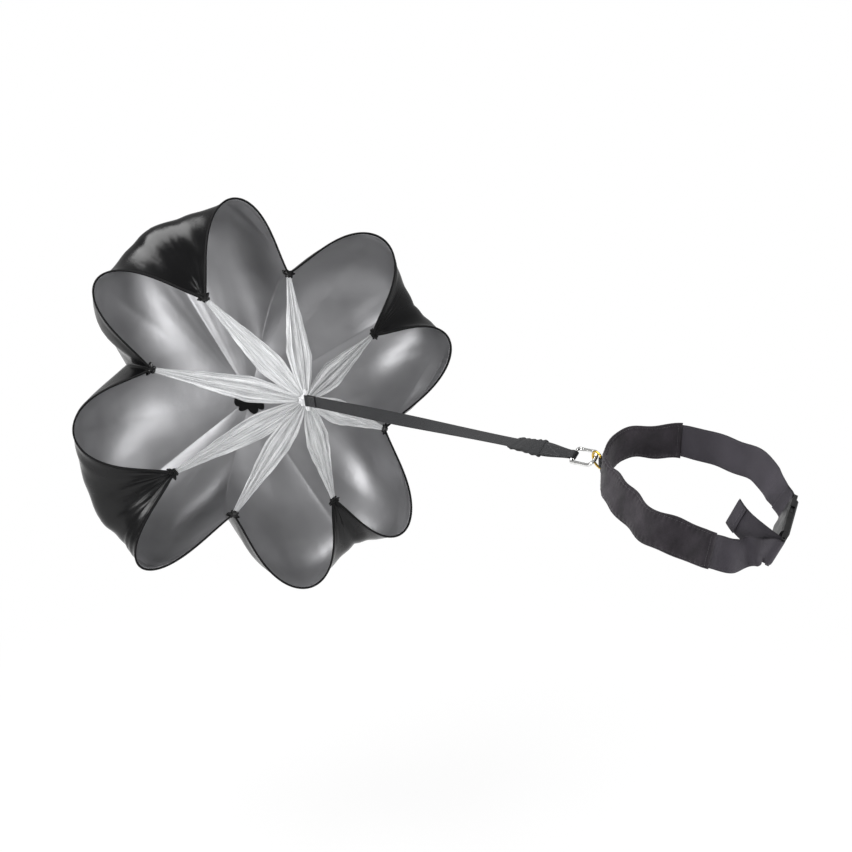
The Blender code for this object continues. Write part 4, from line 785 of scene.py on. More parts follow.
def make_canopy():
    """Two skins a cloth's thickness apart, a strip that joins their rims, and two apex fans.

    The UV map lays the cloth flat: its radius is the length of the meridian so far.
    """
    place, u = cloth_grid()
    outer, normals = folded_cloth(place, u)
    inner = outer - (CLOTH_STAND_OFF + CLOTH_THICKNESS) * normals
    outer = outer - CLOTH_STAND_OFF * normals
    rows, columns = outer.shape[:2]
    size = rows * columns
    apex = np.array(((0, 0, -CANOPY_DEPTH - CLOTH_STAND_OFF), (0, 0, -CANOPY_DEPTH + CLOTH_THICKNESS)))
    whole = np.concatenate((np.broadcast_to(apex[0], (1, columns, 3)), outer))
    steps = np.linalg.norm(np.diff(whole, axis=0), axis=-1)
    radius = np.cumsum(steps, axis=0)
    turn = np.broadcast_to(place, radius.shape) * pitch_angle
    flat = np.stack((radius * np.cos(turn), radius * np.sin(turn)), -1).reshape(-1, 2)
    skin = grid_faces(rows, columns, False, True)
    ring = np.arange(columns)
    after = (ring + 1) % columns
    last = size - columns
    rim = np.stack((last + ring, last + after, size + last + after, size + last + ring), -1)
    poles = [np.stack((np.full(columns, 2 * size), after, ring), -1),
             np.stack((np.full(columns, 2 * size + 1), size + ring, size + after), -1)]
    faces = [*skin, *(skin[:, ::-1] + size), *rim[:, ::-1], *poles[0], *poles[1]]
    slots = np.concatenate((np.zeros(len(skin)), np.ones(len(skin)), np.zeros(len(rim)),
                            np.zeros(columns), np.ones(columns)))
    points = from_canopy(np.vstack((outer.reshape(-1, 3), inner.reshape(-1, 3), apex)))
    uv = np.vstack((flat, flat, (0, 0), (0, 0)))
    return outward(make_piece("canopy_cloth", points, faces, (TAFFETA, SILVER), uv, slots,
                              body="canopy",
                              stands_for=["canopy_gore_%d" % (k + 1) for k in range(GORES)]))


canopy = make_canopy()
print("canopy faces:", len(canopy.data.polygons))

# %% [markdown]
# ## Stitches
# A running stitch is a short thread that lies on the cloth and dives in at both ends. Each
# one here is a six-sided tube of five rings, bent up in its middle. A seam is that tube
# repeated along a path, all placed in one array. A bump map of stitches would cost nothing,
# but it has no outline and no shadow, and near a camera the eye misses both.

# %% Stitches along a path
STITCH_SHARES = np.array(((-0.5, -0.7, 0.4), (-0.3, 0.5, 1.0), (0.0, 0.8, 1.0), (0.3, 0.5, 1.0),
                          (0.5, -0.7, 0.4)))


def stitch_points(path, face, pitch=0.0035, length=0.0026, radius=0.00032):
    """Tubes along a path. Each ring's shares are: along the stitch, above the cloth, thickness."""
    run = run_of(path)
    where = np.arange(pitch / 2, run[-1], pitch)
    middle = at_distance(path, where)
    along = unit(at_distance(path, where + pitch / 4) - at_distance(path, where - pitch / 4))
    lift = square_to(read_at(face, run, where), along)
    across = np.cross(along, lift)
    angle = np.arange(6) * math.pi / 3
    a, h, r = (STITCH_SHARES[:, i][None, :, None, None] for i in range(3))
    up = h * radius + r * radius * np.cos(angle)[None, None, :, None]
    out = r * radius * np.sin(angle)[None, None, :, None]
    return (middle[:, None, None] + a * length * along[:, None, None]
            + up * lift[:, None, None] + out * across[:, None, None])


def sew(name, seams, material, body=None):
    """Makes one piece of several seams' stitches."""
    tubes = np.concatenate(seams)
    skin = grid_faces(5, 6, False, True)
    caps = np.array((tuple(range(6))[::-1], tuple(range(24, 30))))
    shift = (np.arange(len(tubes)) * 30)[:, None, None]
    faces = list((skin[None] + shift).reshape(-1, 4)) + list((caps[None] + shift).reshape(-1, 6))
    return outward(make_piece(name, tubes, faces, (material,), body=body))


STITCH_FACES = len(grid_faces(5, 6, False, True)) + 2
print("faces of one stitch:", STITCH_FACES)

# %% [markdown]
# ## The hem
# The rim is bound with narrow tape, folded over the cloth's edge. In the photograph it is a
# thin black line with a paler line on its inner side. Here that line is a row of stitches in
# pale grey thread: the stitches are real, and their light colour also paints the glint along
# the tape's inner edge. Each lobe has its own run of tape, from gather to gather, with a soft
# oval section. A flat ribbon would vanish where it is seen edge-on, and this tape is seen from
# every side as the rim goes round.

# %% Hem tape and its stitches
HEM_WIDTH = 0.0076
HEM_THICKNESS = 0.0050
HEM_OUTSIDE = 0.0056
HEM_SEAM_IN, HEM_SEAM_LIFT = 0.0034, 0.0005
HEM_STITCH = 0.0044, 0.0038, 0.0007      # pitch, length and thread radius


def oval(sides, width, thickness, power=3.0):
    """Superellipse: both halves raised to two over the power, so larger powers are boxier."""
    angle = np.arange(sides) * 2 * math.pi / sides
    c, s = np.cos(angle), np.sin(angle)
    return (width / 2 * np.sign(c) * np.abs(c) ** (2 / power),
            thickness / 2 * np.sign(s) * np.abs(s) ** (2 / power))


def rim_frames(gore, count=150, reach=0.985):
    """Points of a lobe's rim, and there the cloth's direction outwards and its normal."""
    share = reach * np.sin(np.linspace(-1, 1, count) * math.pi / 2)
    place = gore + (1 + share) / 2
    edge = cloth_points(place, 1.0)
    forward = unit(np.gradient(edge, axis=0))
    away = square_to(edge - cloth_points(place, 0.94), forward)
    face = np.cross(forward, away)
    return edge, forward, away, face * np.sign((face * (edge - (0, 0, -0.1))).sum())


def make_hem():
    """Eight runs of tape in one mesh: an oval carried along each rim, with a cap at each end."""
    width, deep = oval(10, HEM_WIDTH, HEM_THICKNESS)
    rings, runs = [], []
    for gore in range(GORES):
        edge, _, away, face = rim_frames(gore)
        middle = edge + away * (HEM_OUTSIDE - HEM_WIDTH / 2) - face * CLOTH_THICKNESS
        rings.append(middle[:, None] + width[:, None] * away[:, None] + deep[:, None] * face[:, None])
        runs.append(run_of(middle))
    rings = np.array(rings)
    count, sides = rings.shape[1:3]
    skin = grid_faces(count, sides, False, True)
    caps = np.array((np.arange(sides)[::-1], np.arange(sides) + (count - 1) * sides))
    shift = (np.arange(GORES) * count * sides)[:, None, None]
    faces = list((skin[None] + shift).reshape(-1, 4)) + list((caps[None] + shift).reshape(-1, sides))
    uv = np.stack(np.broadcast_arrays(width[None, None, :], np.array(runs)[:, :, None]), -1)
    return outward(make_piece("hem_tape", from_canopy(rings), faces, (HEM_TAPE,), uv, body="canopy",
                              stands_for=["rim_binding_%d" % (k + 1) for k in range(GORES)]))


def turned(vectors):
    """Directions from the canopy's own frame to the shared frame."""
    return vectors @ np.stack((canopy_right, canopy_up, canopy_axis))


def hem_seam(gore):
    """Stitches on the silver side, just inside the tape's edge. Their pale grey thread also paints the
    glint along that edge.
    """
    edge, _, away, face = rim_frames(gore, 150, 0.96)
    path = edge - away * HEM_SEAM_IN - face * (CLOTH_STAND_OFF + CLOTH_THICKNESS + HEM_SEAM_LIFT)
    return stitch_points(from_canopy(path), -turned(face), *HEM_STITCH)


hem = make_hem()
# The hem's stitches are pale grey thread: their light colour also paints the glint along the tape's
# inner edge.
hem_stitches = sew("hem_stitches", [hem_seam(k) for k in range(GORES)], GREY_THREAD_PAINTED_GLINT, "canopy")
tell(hem)
print("hem stitches:", len(hem_stitches.data.polygons) // STITCH_FACES)

# %% [markdown]
# ## Gathers
# At each of the eight points the cloth's edge is bunched, folded over and sewn to the end
# of a net band. It is a small fluted bundle: a tapering tube whose radius ripples with the
# angle, with a waist where the thread is wound round it. Truly folded cloth would be hidden
# inside it, so only the bundle's own surface is made.

# %% Gather bundles
TAB_LENGTH = 0.022
BUNDLE_START = -0.010
BUNDLE_WIDE, BUNDLE_DEEP = (0.0165, 0.0085), (0.0064, 0.0026)      # half size, and its loss
BUNDLE_RADIUS = 0.008      # its mean, at which the UV map unrolls it
KNOT_FRONT, KNOT_BACK = 0.0159, 0.0281      # from the head, along the canopy's axis
BAND_ROOT_RADIUS = 0.012


def band_root(k):
    """Where a band leaves the knot, in the canopy's frame."""
    angle = math.radians(CANOPY_ROLL) - k * pitch_angle
    return polar(BAND_ROOT_RADIUS, angle, BRIDLE_HEIGHT - KNOT_BACK)


def band_way(k):
    """Unit direction from a gather to where its band leaves the knot."""
    return unit(band_root(k) - gathers[k])


def make_gather(k):
    """Fluted bundle: half widths taper along it, ripples are sines of the angle."""
    way = band_way(k)
    wide = square_to(unit(np.cross(gathers[k], UP)), way)
    deep = np.cross(way, wide)
    along = np.linspace(0, 1, 26)[:, None]
    angle = (np.arange(48) * 2 * math.pi / 48)[None, :]
    waist = 1 - 0.30 * np.exp(-((along - 0.55) / 0.13) ** 2)
    flutes = 1 + (0.16 * np.sin(7 * angle + k) + 0.10 * np.sin(11 * angle + 2 * k + 2 * along)) * (
        1.2 - along)
    body = waist * flutes * np.sqrt(np.clip(1 - (2 * along - 1) ** 8, 0, 1))
    half_wide = (BUNDLE_WIDE[0] - BUNDLE_WIDE[1] * along) * body
    half_deep = (BUNDLE_DEEP[0] - BUNDLE_DEEP[1] * along) * body
    reach = BUNDLE_START + along * (TAB_LENGTH - BUNDLE_START)
    points = (gathers[k] + reach[..., None] * way
              + (half_wide * np.cos(angle))[..., None] * wide
              + (half_deep * np.sin(angle))[..., None] * deep)
    uv = np.stack(np.broadcast_arrays(angle * BUNDLE_RADIUS, along * TAB_LENGTH), -1)
    return loft("gather_bundle_%d" % (k + 1), from_canopy(points), (TAFFETA,), uv, body="canopy",
                stands_for=["gather_tab_%d" % (k + 1)])


bundles = [make_gather(k) for k in range(GORES)]
tell(bundles[0])

# %% [markdown]
# ## The net bands
# Eight bands of net run from the gathers to the knot. They are narrow where they are sewn,
# and open into long pleats between. The pleats are a sum of sines across the band, whose
# phase drifts along it, and the free edges wander a little, as soft net does. Straight flat
# bands would be quicker to make, but would look like paper: net never hangs without folds.

# %% Net bands
BAND_FULL_WIDTH, BAND_END_WIDTH, BAND_ROOT_WIDTH = 0.066, 0.012, 0.0070
BAND_WIDEST = 0.66      # share of the way to the knot
BAND_BLEND = 0.010
BAND_PLEAT = 0.0042
BAND_TUCK = 0.003      # how far a band starts inside its gather
NET_HALF = 0.0002


def make_band(k):
    """Two skins of a pleated strip, with a border that joins them.

    The width grows from each end as a power of the distance, and a soft minimum of the two
    rounds the widest place: minus the logarithm of the sum of their negative exponentials.
    """
    way, root = band_way(k), band_root(k)
    start = gathers[k] + way * (TAB_LENGTH - BAND_TUCK)
    along = np.linspace(0, 1, 90)[:, None]
    across = np.linspace(-1, 1, 57)[None, :]
    from_gather = np.clip(along / BAND_WIDEST, 0, 1) ** 1.15
    from_knot = np.clip((1 - along) / (1 - BAND_WIDEST), 0, 1) ** 0.62
    width = BAND_END_WIDTH + (BAND_FULL_WIDTH - BAND_END_WIDTH) * from_gather
    slim = BAND_ROOT_WIDTH + (BAND_FULL_WIDTH - BAND_ROOT_WIDTH) * from_knot
    width = -BAND_BLEND * np.log(np.exp(-width / BAND_BLEND) + np.exp(-slim / BAND_BLEND))
    length = np.linalg.norm(root - start)
    edges = 1 + 0.018 * np.abs(across) ** 4 * (np.sin(19 * along + k) + np.sin(37 * along + 2 * k))
    side = unit(np.cross(way, gathers[k]))
    face = np.cross(side, way)
    pleats = (np.sin(3.1 * math.pi * across + 0.8 * k + 1.5 * along)
              + 0.55 * np.sin(7.3 * math.pi * across + 1.9 * k - 2.2 * along)
              + 0.35 * np.sin(12.1 * math.pi * across + 3.1 * k + 3.0 * along))
    pleats = BAND_PLEAT * (width / BAND_FULL_WIDTH) ** 0.7 * pleats / 1.3
    middle = (start + (root - start) * along[..., None] + (width / 2 * edges * across)[..., None] * side
              + pleats[..., None] * face)
    layers = np.stack((middle + face * NET_HALF, middle - face * NET_HALF))
    rows, columns = middle.shape[:2]
    skin, size = grid_faces(rows, columns), rows * columns
    edge = np.concatenate((np.arange(columns), np.arange(1, rows) * columns + columns - 1,
                           size - 2 - np.arange(columns - 1), (np.arange(rows - 2, 0, -1)) * columns))
    after = np.roll(edge, -1)
    border = np.stack((edge, edge + size, after + size, after), -1)
    faces = list(skin) + list(skin[:, ::-1] + size) + list(border)
    flat = np.stack(np.broadcast_arrays(across * BAND_FULL_WIDTH / 2, along * length), -1)
    return outward(make_piece("net_band_%d" % (k + 1), from_canopy(layers), faces, (NET,),
                              np.stack((flat, flat)), body="canopy",
                              stands_for=["mesh_band_%d" % (k + 1)]))


bands = [make_band(k) for k in range(GORES)]
tell(*bands)

# %% [markdown]
# ## Knot, ring and apex patch
# The bands are bunched behind a small ring of the same net, and the strap's end loop goes
# through that ring. The knot is a fluted cone wound with thread. The bands could be carried
# on into it, but only its outer folds can be seen. Inside the bowl a dark round patch
# strengthens the apex.

# %% Knot, bridle ring and apex patch
TOUCH = 0.0003      # the gap between pieces that touch
KNOT_RADIUS, KNOT_SWELL, KNOT_LENGTH = 0.0075, 0.0058, 0.0115
STRAP_WIDTH, STRAP_THICKNESS = 0.025, 0.0016
BRIDLE_WIRE, RING_EASE = 0.0034, 0.0006
PATCH_HOLE, PATCH_RADIUS, PATCH_EDGE = 0.004, 0.040, 0.0405
PATCH_TOP, PATCH_RIM, PATCH_UNDER = 0.0030, 0.0014, 0.0012
APEX_SLOPE = 0.81      # metres from the axis a unit of height, near the apex
head_across = np.array(joints["canopy_sway"]["axis"])


def make_knot():
    """Fluted cone: its radius swells from the ring to the bands, with eight soft lobes."""
    along = np.linspace(0, 1, 24)[:, None]
    angle = (np.arange(64) * 2 * math.pi / 64)[None, :]
    radius = KNOT_RADIUS + KNOT_SWELL * smooth_step(along / 0.8)
    wound = 1 - 0.10 * np.exp(-((along - 0.35) / 0.10) ** 2)
    flutes = 1 + 0.09 * np.sin(8 * angle) + 0.05 * np.sin(19 * angle + 3 * along)
    ends = np.sqrt(np.clip(1 - (2 * along - 1) ** 10, 0, 1))
    height = BRIDLE_HEIGHT - KNOT_FRONT - KNOT_LENGTH * along
    points = polar(radius * wound * flutes * ends, angle, height)
    uv = np.stack(np.broadcast_arrays(angle * 0.010, along * 0.011), -1)
    return loft("net_knot", from_canopy(points), (GATHERED_NET,), uv, body="canopy",
                stands_for=["bridle_knot"])


def tube(name, centres, normal, radius, material, closed=False, squeeze=None, sides=20, **options):
    """Round section along a flat curve; squeeze thins it along the plane's normal."""
    forward = (unit(np.roll(centres, -1, axis=0) - np.roll(centres, 1, axis=0)) if closed
               else unit(np.gradient(centres, axis=0)))
    beside = unit(np.cross(forward, normal))
    angle = (np.arange(sides) * 2 * math.pi / sides)[None, :, None]
    radius = np.broadcast_to(radius, len(centres))[:, None, None]
    squeeze = np.broadcast_to(1.0 if squeeze is None else squeeze, len(centres))[:, None, None]
    rings = centres[:, None] + radius * (np.cos(angle) * beside[:, None]
                                         + squeeze * np.sin(angle) * normal)
    around = np.broadcast_to(angle[..., 0] * float(radius.mean()), rings.shape[:2])
    uv = np.stack((around, np.broadcast_to(run_of(centres)[:, None], rings.shape[:2])), -1)
    return loft(name, rings, (material,), uv, closed, **options)


def make_bridle_ring():
    """Flat oval: two straight bars and two half circles, in the plane of the strap's width."""
    back = square_to(-canopy_axis, head_across)
    half = STRAP_WIDTH / 2 + RING_EASE + BRIDLE_WIRE
    corner = (2 * BRIDLE_WIRE + STRAP_THICKNESS + 3 * TOUCH) / 2
    turn = np.radians(np.linspace(-90, 90, 17))
    over = np.concatenate((half + corner * np.cos(turn), -half - corner * np.cos(turn)))
    deep = np.concatenate((corner + corner * np.sin(turn), corner - corner * np.sin(turn)))
    centres = head + over[:, None] * head_across + deep[:, None] * back
    return tube("net_ring", centres, np.cross(head_across, back), BRIDLE_WIRE, GATHERED_NET, True,
                body="canopy", stands_for=["bridle_ring"])


def make_patch():
    """Disc on the cloth's inner side: a ring of cloth points, lifted clear of the folds."""
    place = np.linspace(0, GORES, 64, endpoint=False)[None, :]
    radius = np.concatenate((np.linspace(PATCH_HOLE, PATCH_RADIUS, 12), (PATCH_EDGE,)))[:, None]
    flat = cloth_points(np.broadcast_to(place, (13, 64)), radius / APEX_SLOPE)
    lift = np.concatenate((np.full(12, PATCH_TOP), (PATCH_RIM,)))
    over = flat + lift[:, None, None] * UP
    under = flat[::-1] + PATCH_UNDER * UP
    rings = np.vstack((over, under[1:]))
    return loft("apex_disc", from_canopy(rings), (HEM_TAPE,), rings[..., :2], body="canopy",
                stands_for=["apex_patch"])


knot, bridle_ring, patch = make_knot(), make_bridle_ring(), make_patch()
tell(knot, bridle_ring, patch)

# %% [markdown]
# ## Webbing
# Webbing is a flat strap with rounded edges. Its section is a grid of places across: the
# half thickness falls to nothing at the edges as the root of one minus a high power, and
# the places crowd together there. Carried along a path, it gives every strap of the object.
# A plain box would fit the outline, but its sharp edges would glint as no woven edge does.

# %% A strap along a path
EDGE_POWER = 10
SECTION_PLACES = 19


def strap(name, centres, across, width, thickness, material, ends=1.0, **options):
    """Carries the section along the centres. Across is the width's direction, in metres."""
    forward = unit(np.gradient(centres, axis=0))
    across = square_to(np.broadcast_to(across, centres.shape), forward)
    through = np.cross(forward, across)
    place = np.sin(np.linspace(-math.pi / 2, math.pi / 2, SECTION_PLACES))
    place = np.concatenate((place, place[-2:0:-1]))
    rise = np.sqrt(np.clip(1 - np.abs(place) ** EDGE_POWER, 0, 1))
    rise[SECTION_PLACES:] *= -1
    width = np.broadcast_to(width, len(centres))[:, None, None]
    thickness = np.broadcast_to(thickness, len(centres))[:, None, None]
    rings = (centres[:, None] + width / 2 * place[:, None] * across[:, None]
             + thickness / 2 * rise[:, None] * through[:, None])
    uv = np.stack(np.broadcast_arrays(width[..., 0] / 2 * place, run_of(centres)[:, None]), -1)
    return loft(name, rings, (material,), uv, **options)


print("points round a strap:", 2 * SECTION_PLACES - 2)

# %% [markdown]
# ## The tether
# The strap turns slowly along its length: at the hook it lies rolled, further on it is
# nearly flat, and at the bridle it stands on edge. Both ends are doubled round what they
# hold and sewn down, and beside the hook the tail is folded back over the strap. A straight
# strap without that turn would meet the hook or the bridle at a wrong angle.

# %% The tether's line
eye = np.array(joints["strap_turn"]["pos_m"])
TETHER_LENGTH = float(np.linalg.norm(head - eye))
tether_way = unit(head - eye)
tether_up = square_to(UP, tether_way)
HOOK_ROLL, MIDDLE_ROLL, HEAD_ROLL = np.radians((45, 18, 90))
HOOK_LOOP, FOLD_LENGTH, HEAD_LOOP, LOOP_TAPER = 0.090, 0.095, 0.050, 0.014
HOOK_WIRE = 0.003
NECK_WIDTH = 0.0135
LEG_RINGS, TETHER_RINGS = 40, 420


def tether_across(distance):
    """Width direction: the roll goes from the hook's to the middle's to the head's."""
    distance = np.clip(distance, LOOP_TAPER, TETHER_LENGTH - HEAD_LOOP)
    sewn = HOOK_LOOP + FOLD_LENGTH
    roll = HOOK_ROLL + (MIDDLE_ROLL - HOOK_ROLL) * smooth_step((distance - HOOK_LOOP) / FOLD_LENGTH)
    rest = TETHER_LENGTH - HEAD_LOOP - sewn
    roll = roll + (HEAD_ROLL - MIDDLE_ROLL) * smooth_step((distance - sewn) / rest)
    return np.cos(roll)[:, None] * SIDE + np.sin(roll)[:, None] * tether_up


def on_tether(distance, offset):
    """Points along the strap, moved off its middle plane, and the width's direction there."""
    across = tether_across(distance)
    through = np.cross(np.broadcast_to(tether_way, across.shape), across)
    return eye + distance[:, None] * tether_way + np.asarray(offset)[..., None] * through, across


def looped_end(name, pivot, way, bar, length, neck, stands_for):
    """A doubled end: in on one side, half a turn round the bar, and back on the other."""
    radius = bar + TOUCH + STRAP_THICKNESS / 2
    lay = STRAP_THICKNESS + TOUCH
    legs = np.linspace(length, LOOP_TAPER, LEG_RINGS)
    turn = np.linspace(-math.pi / 2, math.pi / 2, 25)
    share = np.linspace(0, 1, 14)[1:-1]
    join = LOOP_TAPER * (1 - share)
    flare = lay + (radius - lay) * smooth_step(share)
    distance = np.concatenate((legs, join, -radius * np.cos(turn), join[::-1], legs[::-1]))
    leg = np.full(LEG_RINGS, lay)
    offset = np.concatenate((-leg, -flare, radius * np.sin(turn), flare[::-1], leg))
    centres, across = on_tether(pivot + way * distance, offset)
    across[LEG_RINGS:-LEG_RINGS] = tether_across(np.array([pivot]))[0]
    width = neck + (STRAP_WIDTH - neck) * smooth_step(distance / length)
    return strap(name, centres, across, width, STRAP_THICKNESS, TETHER_WEBBING, body="tether",
                 stands_for=[stands_for])


far = np.linspace(LOOP_TAPER, TETHER_LENGTH - LOOP_TAPER, TETHER_RINGS)
centres, across = on_tether(far, np.zeros(TETHER_RINGS))
strap_width = NECK_WIDTH + (STRAP_WIDTH - NECK_WIDTH) * smooth_step(far / HOOK_LOOP)
tether = strap("tether_webbing", centres, across, strap_width, STRAP_THICKNESS, TETHER_WEBBING,
               body="tether", stands_for=["tether_strap"])
hook_loop = looped_end("hook_end_loop", 0.0, 1, HOOK_WIRE, HOOK_LOOP, NECK_WIDTH, "strap_hook_loop")
head_loop = looped_end("bridle_end_loop", TETHER_LENGTH, -1, BRIDLE_WIRE, HEAD_LOOP, STRAP_WIDTH,
                       "strap_head_loop")
tell(tether, hook_loop, head_loop)
print("tether length between its pivots:", round(TETHER_LENGTH, 4), "m")

# %% [markdown]
# ## The folded tail beside the hook
# The spare end of the strap is wrapped once round it and sewn, so it is wider and rougher
# there. It is a flattened tube whose edges wander. Wrapping a real strip round the strap
# would hide most of what it makes, so the tube stands for the outer layer alone. Boxed seams,
# a rectangle with a cross in it, hold the doubled ends.

# %% The wrapped tail of the strap
WRAP_HALF, WRAP_DEEP, WRAP_END = 0.0150, 0.0029, 0.0014
HOOK_SEAM = 0.035, 0.082, 0.0080      # from, to and half width, in metres from the pivot
HEAD_SEAM = 0.046, 0.022, 0.0100
SIDE_SHIFT = TOUCH + 1.5 * STRAP_THICKNESS


def make_wrap():
    """Flat tube round the strap: height and depth vary slowly along it, the ends draw in."""
    share = np.linspace(0, 1, 110)
    distance = HOOK_LOOP + TOUCH + share * FOLD_LENGTH
    centres, across = on_tether(distance, np.zeros(110))
    through = np.cross(np.broadcast_to(tether_way, across.shape), across)
    high = WRAP_HALF + ripple(share, (0.0016, 9, 0.6)) * share + ripple(share, (0.0008, 31, 0))
    deep = WRAP_DEEP + ripple(share, (0.0007, 13, 1), (0.0004, 37, 0))
    rounding = np.sqrt(np.clip(1 - (2 * share - 1) ** 24, 0, 1))
    deep = WRAP_END + (deep - WRAP_END) * rounding
    u, v = oval(32, 2.0, 2.0, 5.0)
    rings = (centres[:, None] + (high[:, None] * u)[..., None] * across[:, None]
             + (deep[:, None] * v)[..., None] * through[:, None])
    uv = np.stack(np.broadcast_arrays(u[None] * STRAP_WIDTH / 2, (share * FOLD_LENGTH)[:, None]), -1)
    return loft("wrapped_tail", rings, (TETHER_WEBBING,), uv, body="tether",
                stands_for=["strap_fold"])


def boxed_seam(low, high, offset, half):
    """Box with a cross in it, the seam that holds a doubled strap."""
    corners = np.array(((low, -half), (high, -half), (high, half), (low, half), (low, -half),
                        (high, half), (low, half), (high, -half)))
    fine = np.concatenate([np.linspace(a, b, 16) for a, b in zip(corners[:-1], corners[1:])])
    base, across = on_tether(fine[:, 0], np.full(len(fine), offset))
    through = np.cross(np.broadcast_to(tether_way, across.shape), across) * np.sign(offset)
    return stitch_points(base + fine[:, 1:] * across, through)


wrap = make_wrap()
head_low, head_high = TETHER_LENGTH - HEAD_SEAM[0], TETHER_LENGTH - HEAD_SEAM[1]
seams = [boxed_seam(*HOOK_SEAM[:2], side * SIDE_SHIFT, HOOK_SEAM[2]) for side in (-1, 1)]
seams += [boxed_seam(head_low, head_high, side * SIDE_SHIFT, HEAD_SEAM[2]) for side in (-1, 1)]
tether_stitches = sew("tether_stitches", seams, BLACK_THREAD, "tether")
tell(wrap, tether_stitches)

# %% [markdown]
# ## The belt's line
# The belt hangs as a soft oval. Its line is a natural spline through a few points round the
# waist, and the band leans outwards a little, as a band on hips does. Near the buckle it
# turns parallel to the buckle's bars. Small waves along it keep it from looking stamped. An
# ellipse would be simpler, but the photograph's belt isn't one: the buckle's straight bars
# and the pull of the tether change its line.

# %% The line that the belt follows
LOOP_HALF = np.array((0.1575, 0.111, 0.018))
LOOP_SHARES = np.array((
    (0.97, -0.23, -1.20), (0.84, -0.60, -1.00), (0.57, -0.82, -0.78), (0.32, -0.97, -0.55),
    (-0.02, -0.98, -0.40), (-0.38, -0.90, -0.15), (-0.63, -0.80, -0.05), (-0.775, -0.69, 0.00),
    (-0.86, -0.57, 0.15), (-0.975, -0.14, 0.95), (-0.87, 0.27, 1.00), (-0.67, 0.65, 1.00),
    (-0.385, 0.88, 1.00), (-0.07, 1.00, 1.00), (0.24, 0.95, 0.85), (0.50, 0.815, 0.72)))
RING_POINT = 8
BUCKLE_TURN, BUCKLE_DIP, BUCKLE_TILT = np.radians((-50, -11, 20))
buckle_middle = np.array((0.90, 0.41, -0.50)) * LOOP_HALF
buckle_x = unit(np.array((np.cos(BUCKLE_TURN), np.sin(BUCKLE_TURN), np.tan(BUCKLE_DIP))))
lean = np.cos(BUCKLE_TILT) * UP + np.sin(BUCKLE_TILT) * unit(np.cross(UP, buckle_x))
buckle_z = square_to(lean, buckle_x)
buckle_y = np.cross(buckle_z, buckle_x)
BAR_SPACING, BAR_LEAD = 0.098, 0.012
RING_CALM, BAR_CALM, FRONT_FROM = 0.020, 0.006, 0.270
SLOPE_STEP = 0.003      # half the step over which the belt's direction is measured


def from_buckle(points):
    """From the buckle's frame (x towards the plug, y out of the loop) to the shared frame."""
    points = np.asarray(points, float)
    return (buckle_middle + points[..., 0:1] * buckle_x + points[..., 1:2] * buckle_y
            + points[..., 2:3] * buckle_z)


def bar_end(side, lead, degrees):
    """A place near a bar: half the bars' spacing along x, then a lead turned by an angle."""
    turn = math.radians(degrees)
    reach = BAR_SPACING / 2
    return from_buckle(side * np.array((reach + lead * math.cos(turn), lead * math.sin(turn), 0)))


loop_middle = LOOP_SHARES * LOOP_HALF
belt_line = smooth_line(np.vstack((bar_end(1, 0, 0), bar_end(1, BAR_LEAD, -64), loop_middle,
                                   bar_end(-1, BAR_LEAD, 24), bar_end(-1, 0, 0))))
belt_run = run_of(belt_line)
ring_seat_run = belt_run[np.argmin(np.linalg.norm(belt_line - loop_middle[RING_POINT], axis=1))]
BELT_LOW, BELT_HIGH = -ring_seat_run, belt_run[-1] - ring_seat_run
NEAR_FLARE, FAR_FLARE = np.radians((15, 22))
FLARE_RUN, FAR_FLARE_RUN, TAB_LEG = 0.060, 0.110, 0.014
BAR_FLAT, BAR_RUN = 0.020, 0.045
SLEEVE_FAR, SLEEVE_NEAR = 0.144, 0.288
print("belt line:", round(float(belt_run[-1]), 3), "m")


def belt_waves(distance):
    """Waves out of the band's plane and along its height: sums of sines of the distance.

    They fade out at the ring and at the bars. The bare webbing in front has one more.
    """
    calm = smooth_step((np.abs(distance) - RING_CALM) / 0.04)
    ends = np.minimum(BELT_HIGH - distance, distance - BELT_LOW - BAR_CALM)
    calm = calm * smooth_step(ends / 0.03)
    front = smooth_step((-distance - FRONT_FROM) / 0.03)
    out = ripple(distance, (0.0012, 61, 1.0), (0.0010, 103, 0))
    out = out + front * ripple(distance + 0.285, (0.0026, 150, 0))
    up = ripple(distance, (0.0016, 47, 0.5), (0.0011, 89, 2))
    return calm * out, calm * up


def belt_frames(distance, wavy=True):
    """Centre, direction along, direction out of the loop and the band's up, at distances."""
    distance = np.atleast_1d(np.asarray(distance, float))
    inside = np.clip(distance, BELT_LOW, BELT_HIGH)
    behind, ahead = (at_distance(belt_line, np.clip(inside + step, BELT_LOW, BELT_HIGH) + ring_seat_run)
                     for step in (-SLOPE_STEP, SLOPE_STEP))
    along = unit(ahead - behind)
    out = unit(np.cross(UP, along))
    near = smooth_step((-distance - TAB_LEG) / FLARE_RUN)
    near = near * smooth_step((distance - BELT_LOW) / FLARE_RUN)
    far = smooth_step((distance - SLEEVE_FAR + FLARE_RUN) / FAR_FLARE_RUN)
    flare = (NEAR_FLARE * near - FAR_FLARE * far)[:, None]
    up = square_to(np.cos(flare) * UP - np.sin(flare) * out, along)
    ends = np.minimum(BELT_HIGH - distance, distance - BELT_LOW)
    on_bar = (1 - smooth_step((ends - BAR_FLAT) / BAR_RUN))[:, None]
    up = unit(up + on_bar * (buckle_z - up))
    along = square_to(along, up)
    centre = at_distance(belt_line, inside + ring_seat_run) + (distance - inside)[:, None] * along
    out = np.cross(up, along)
    if wavy:
        wave_out, wave_up = belt_waves(distance)
        centre = centre + wave_out[:, None] * out + wave_up[:, None] * up
    return centre, along, out, up


def on_belt(distance, offset):
    """Points along the belt, moved out of the loop by the offset, and the band's up there."""
    centre, _, out, up = belt_frames(distance)
    return centre + np.asarray(offset, float)[..., None] * out, up


print("from the ring to the bars:", round(BELT_LOW, 3), "and", round(BELT_HIGH, 3), "m")
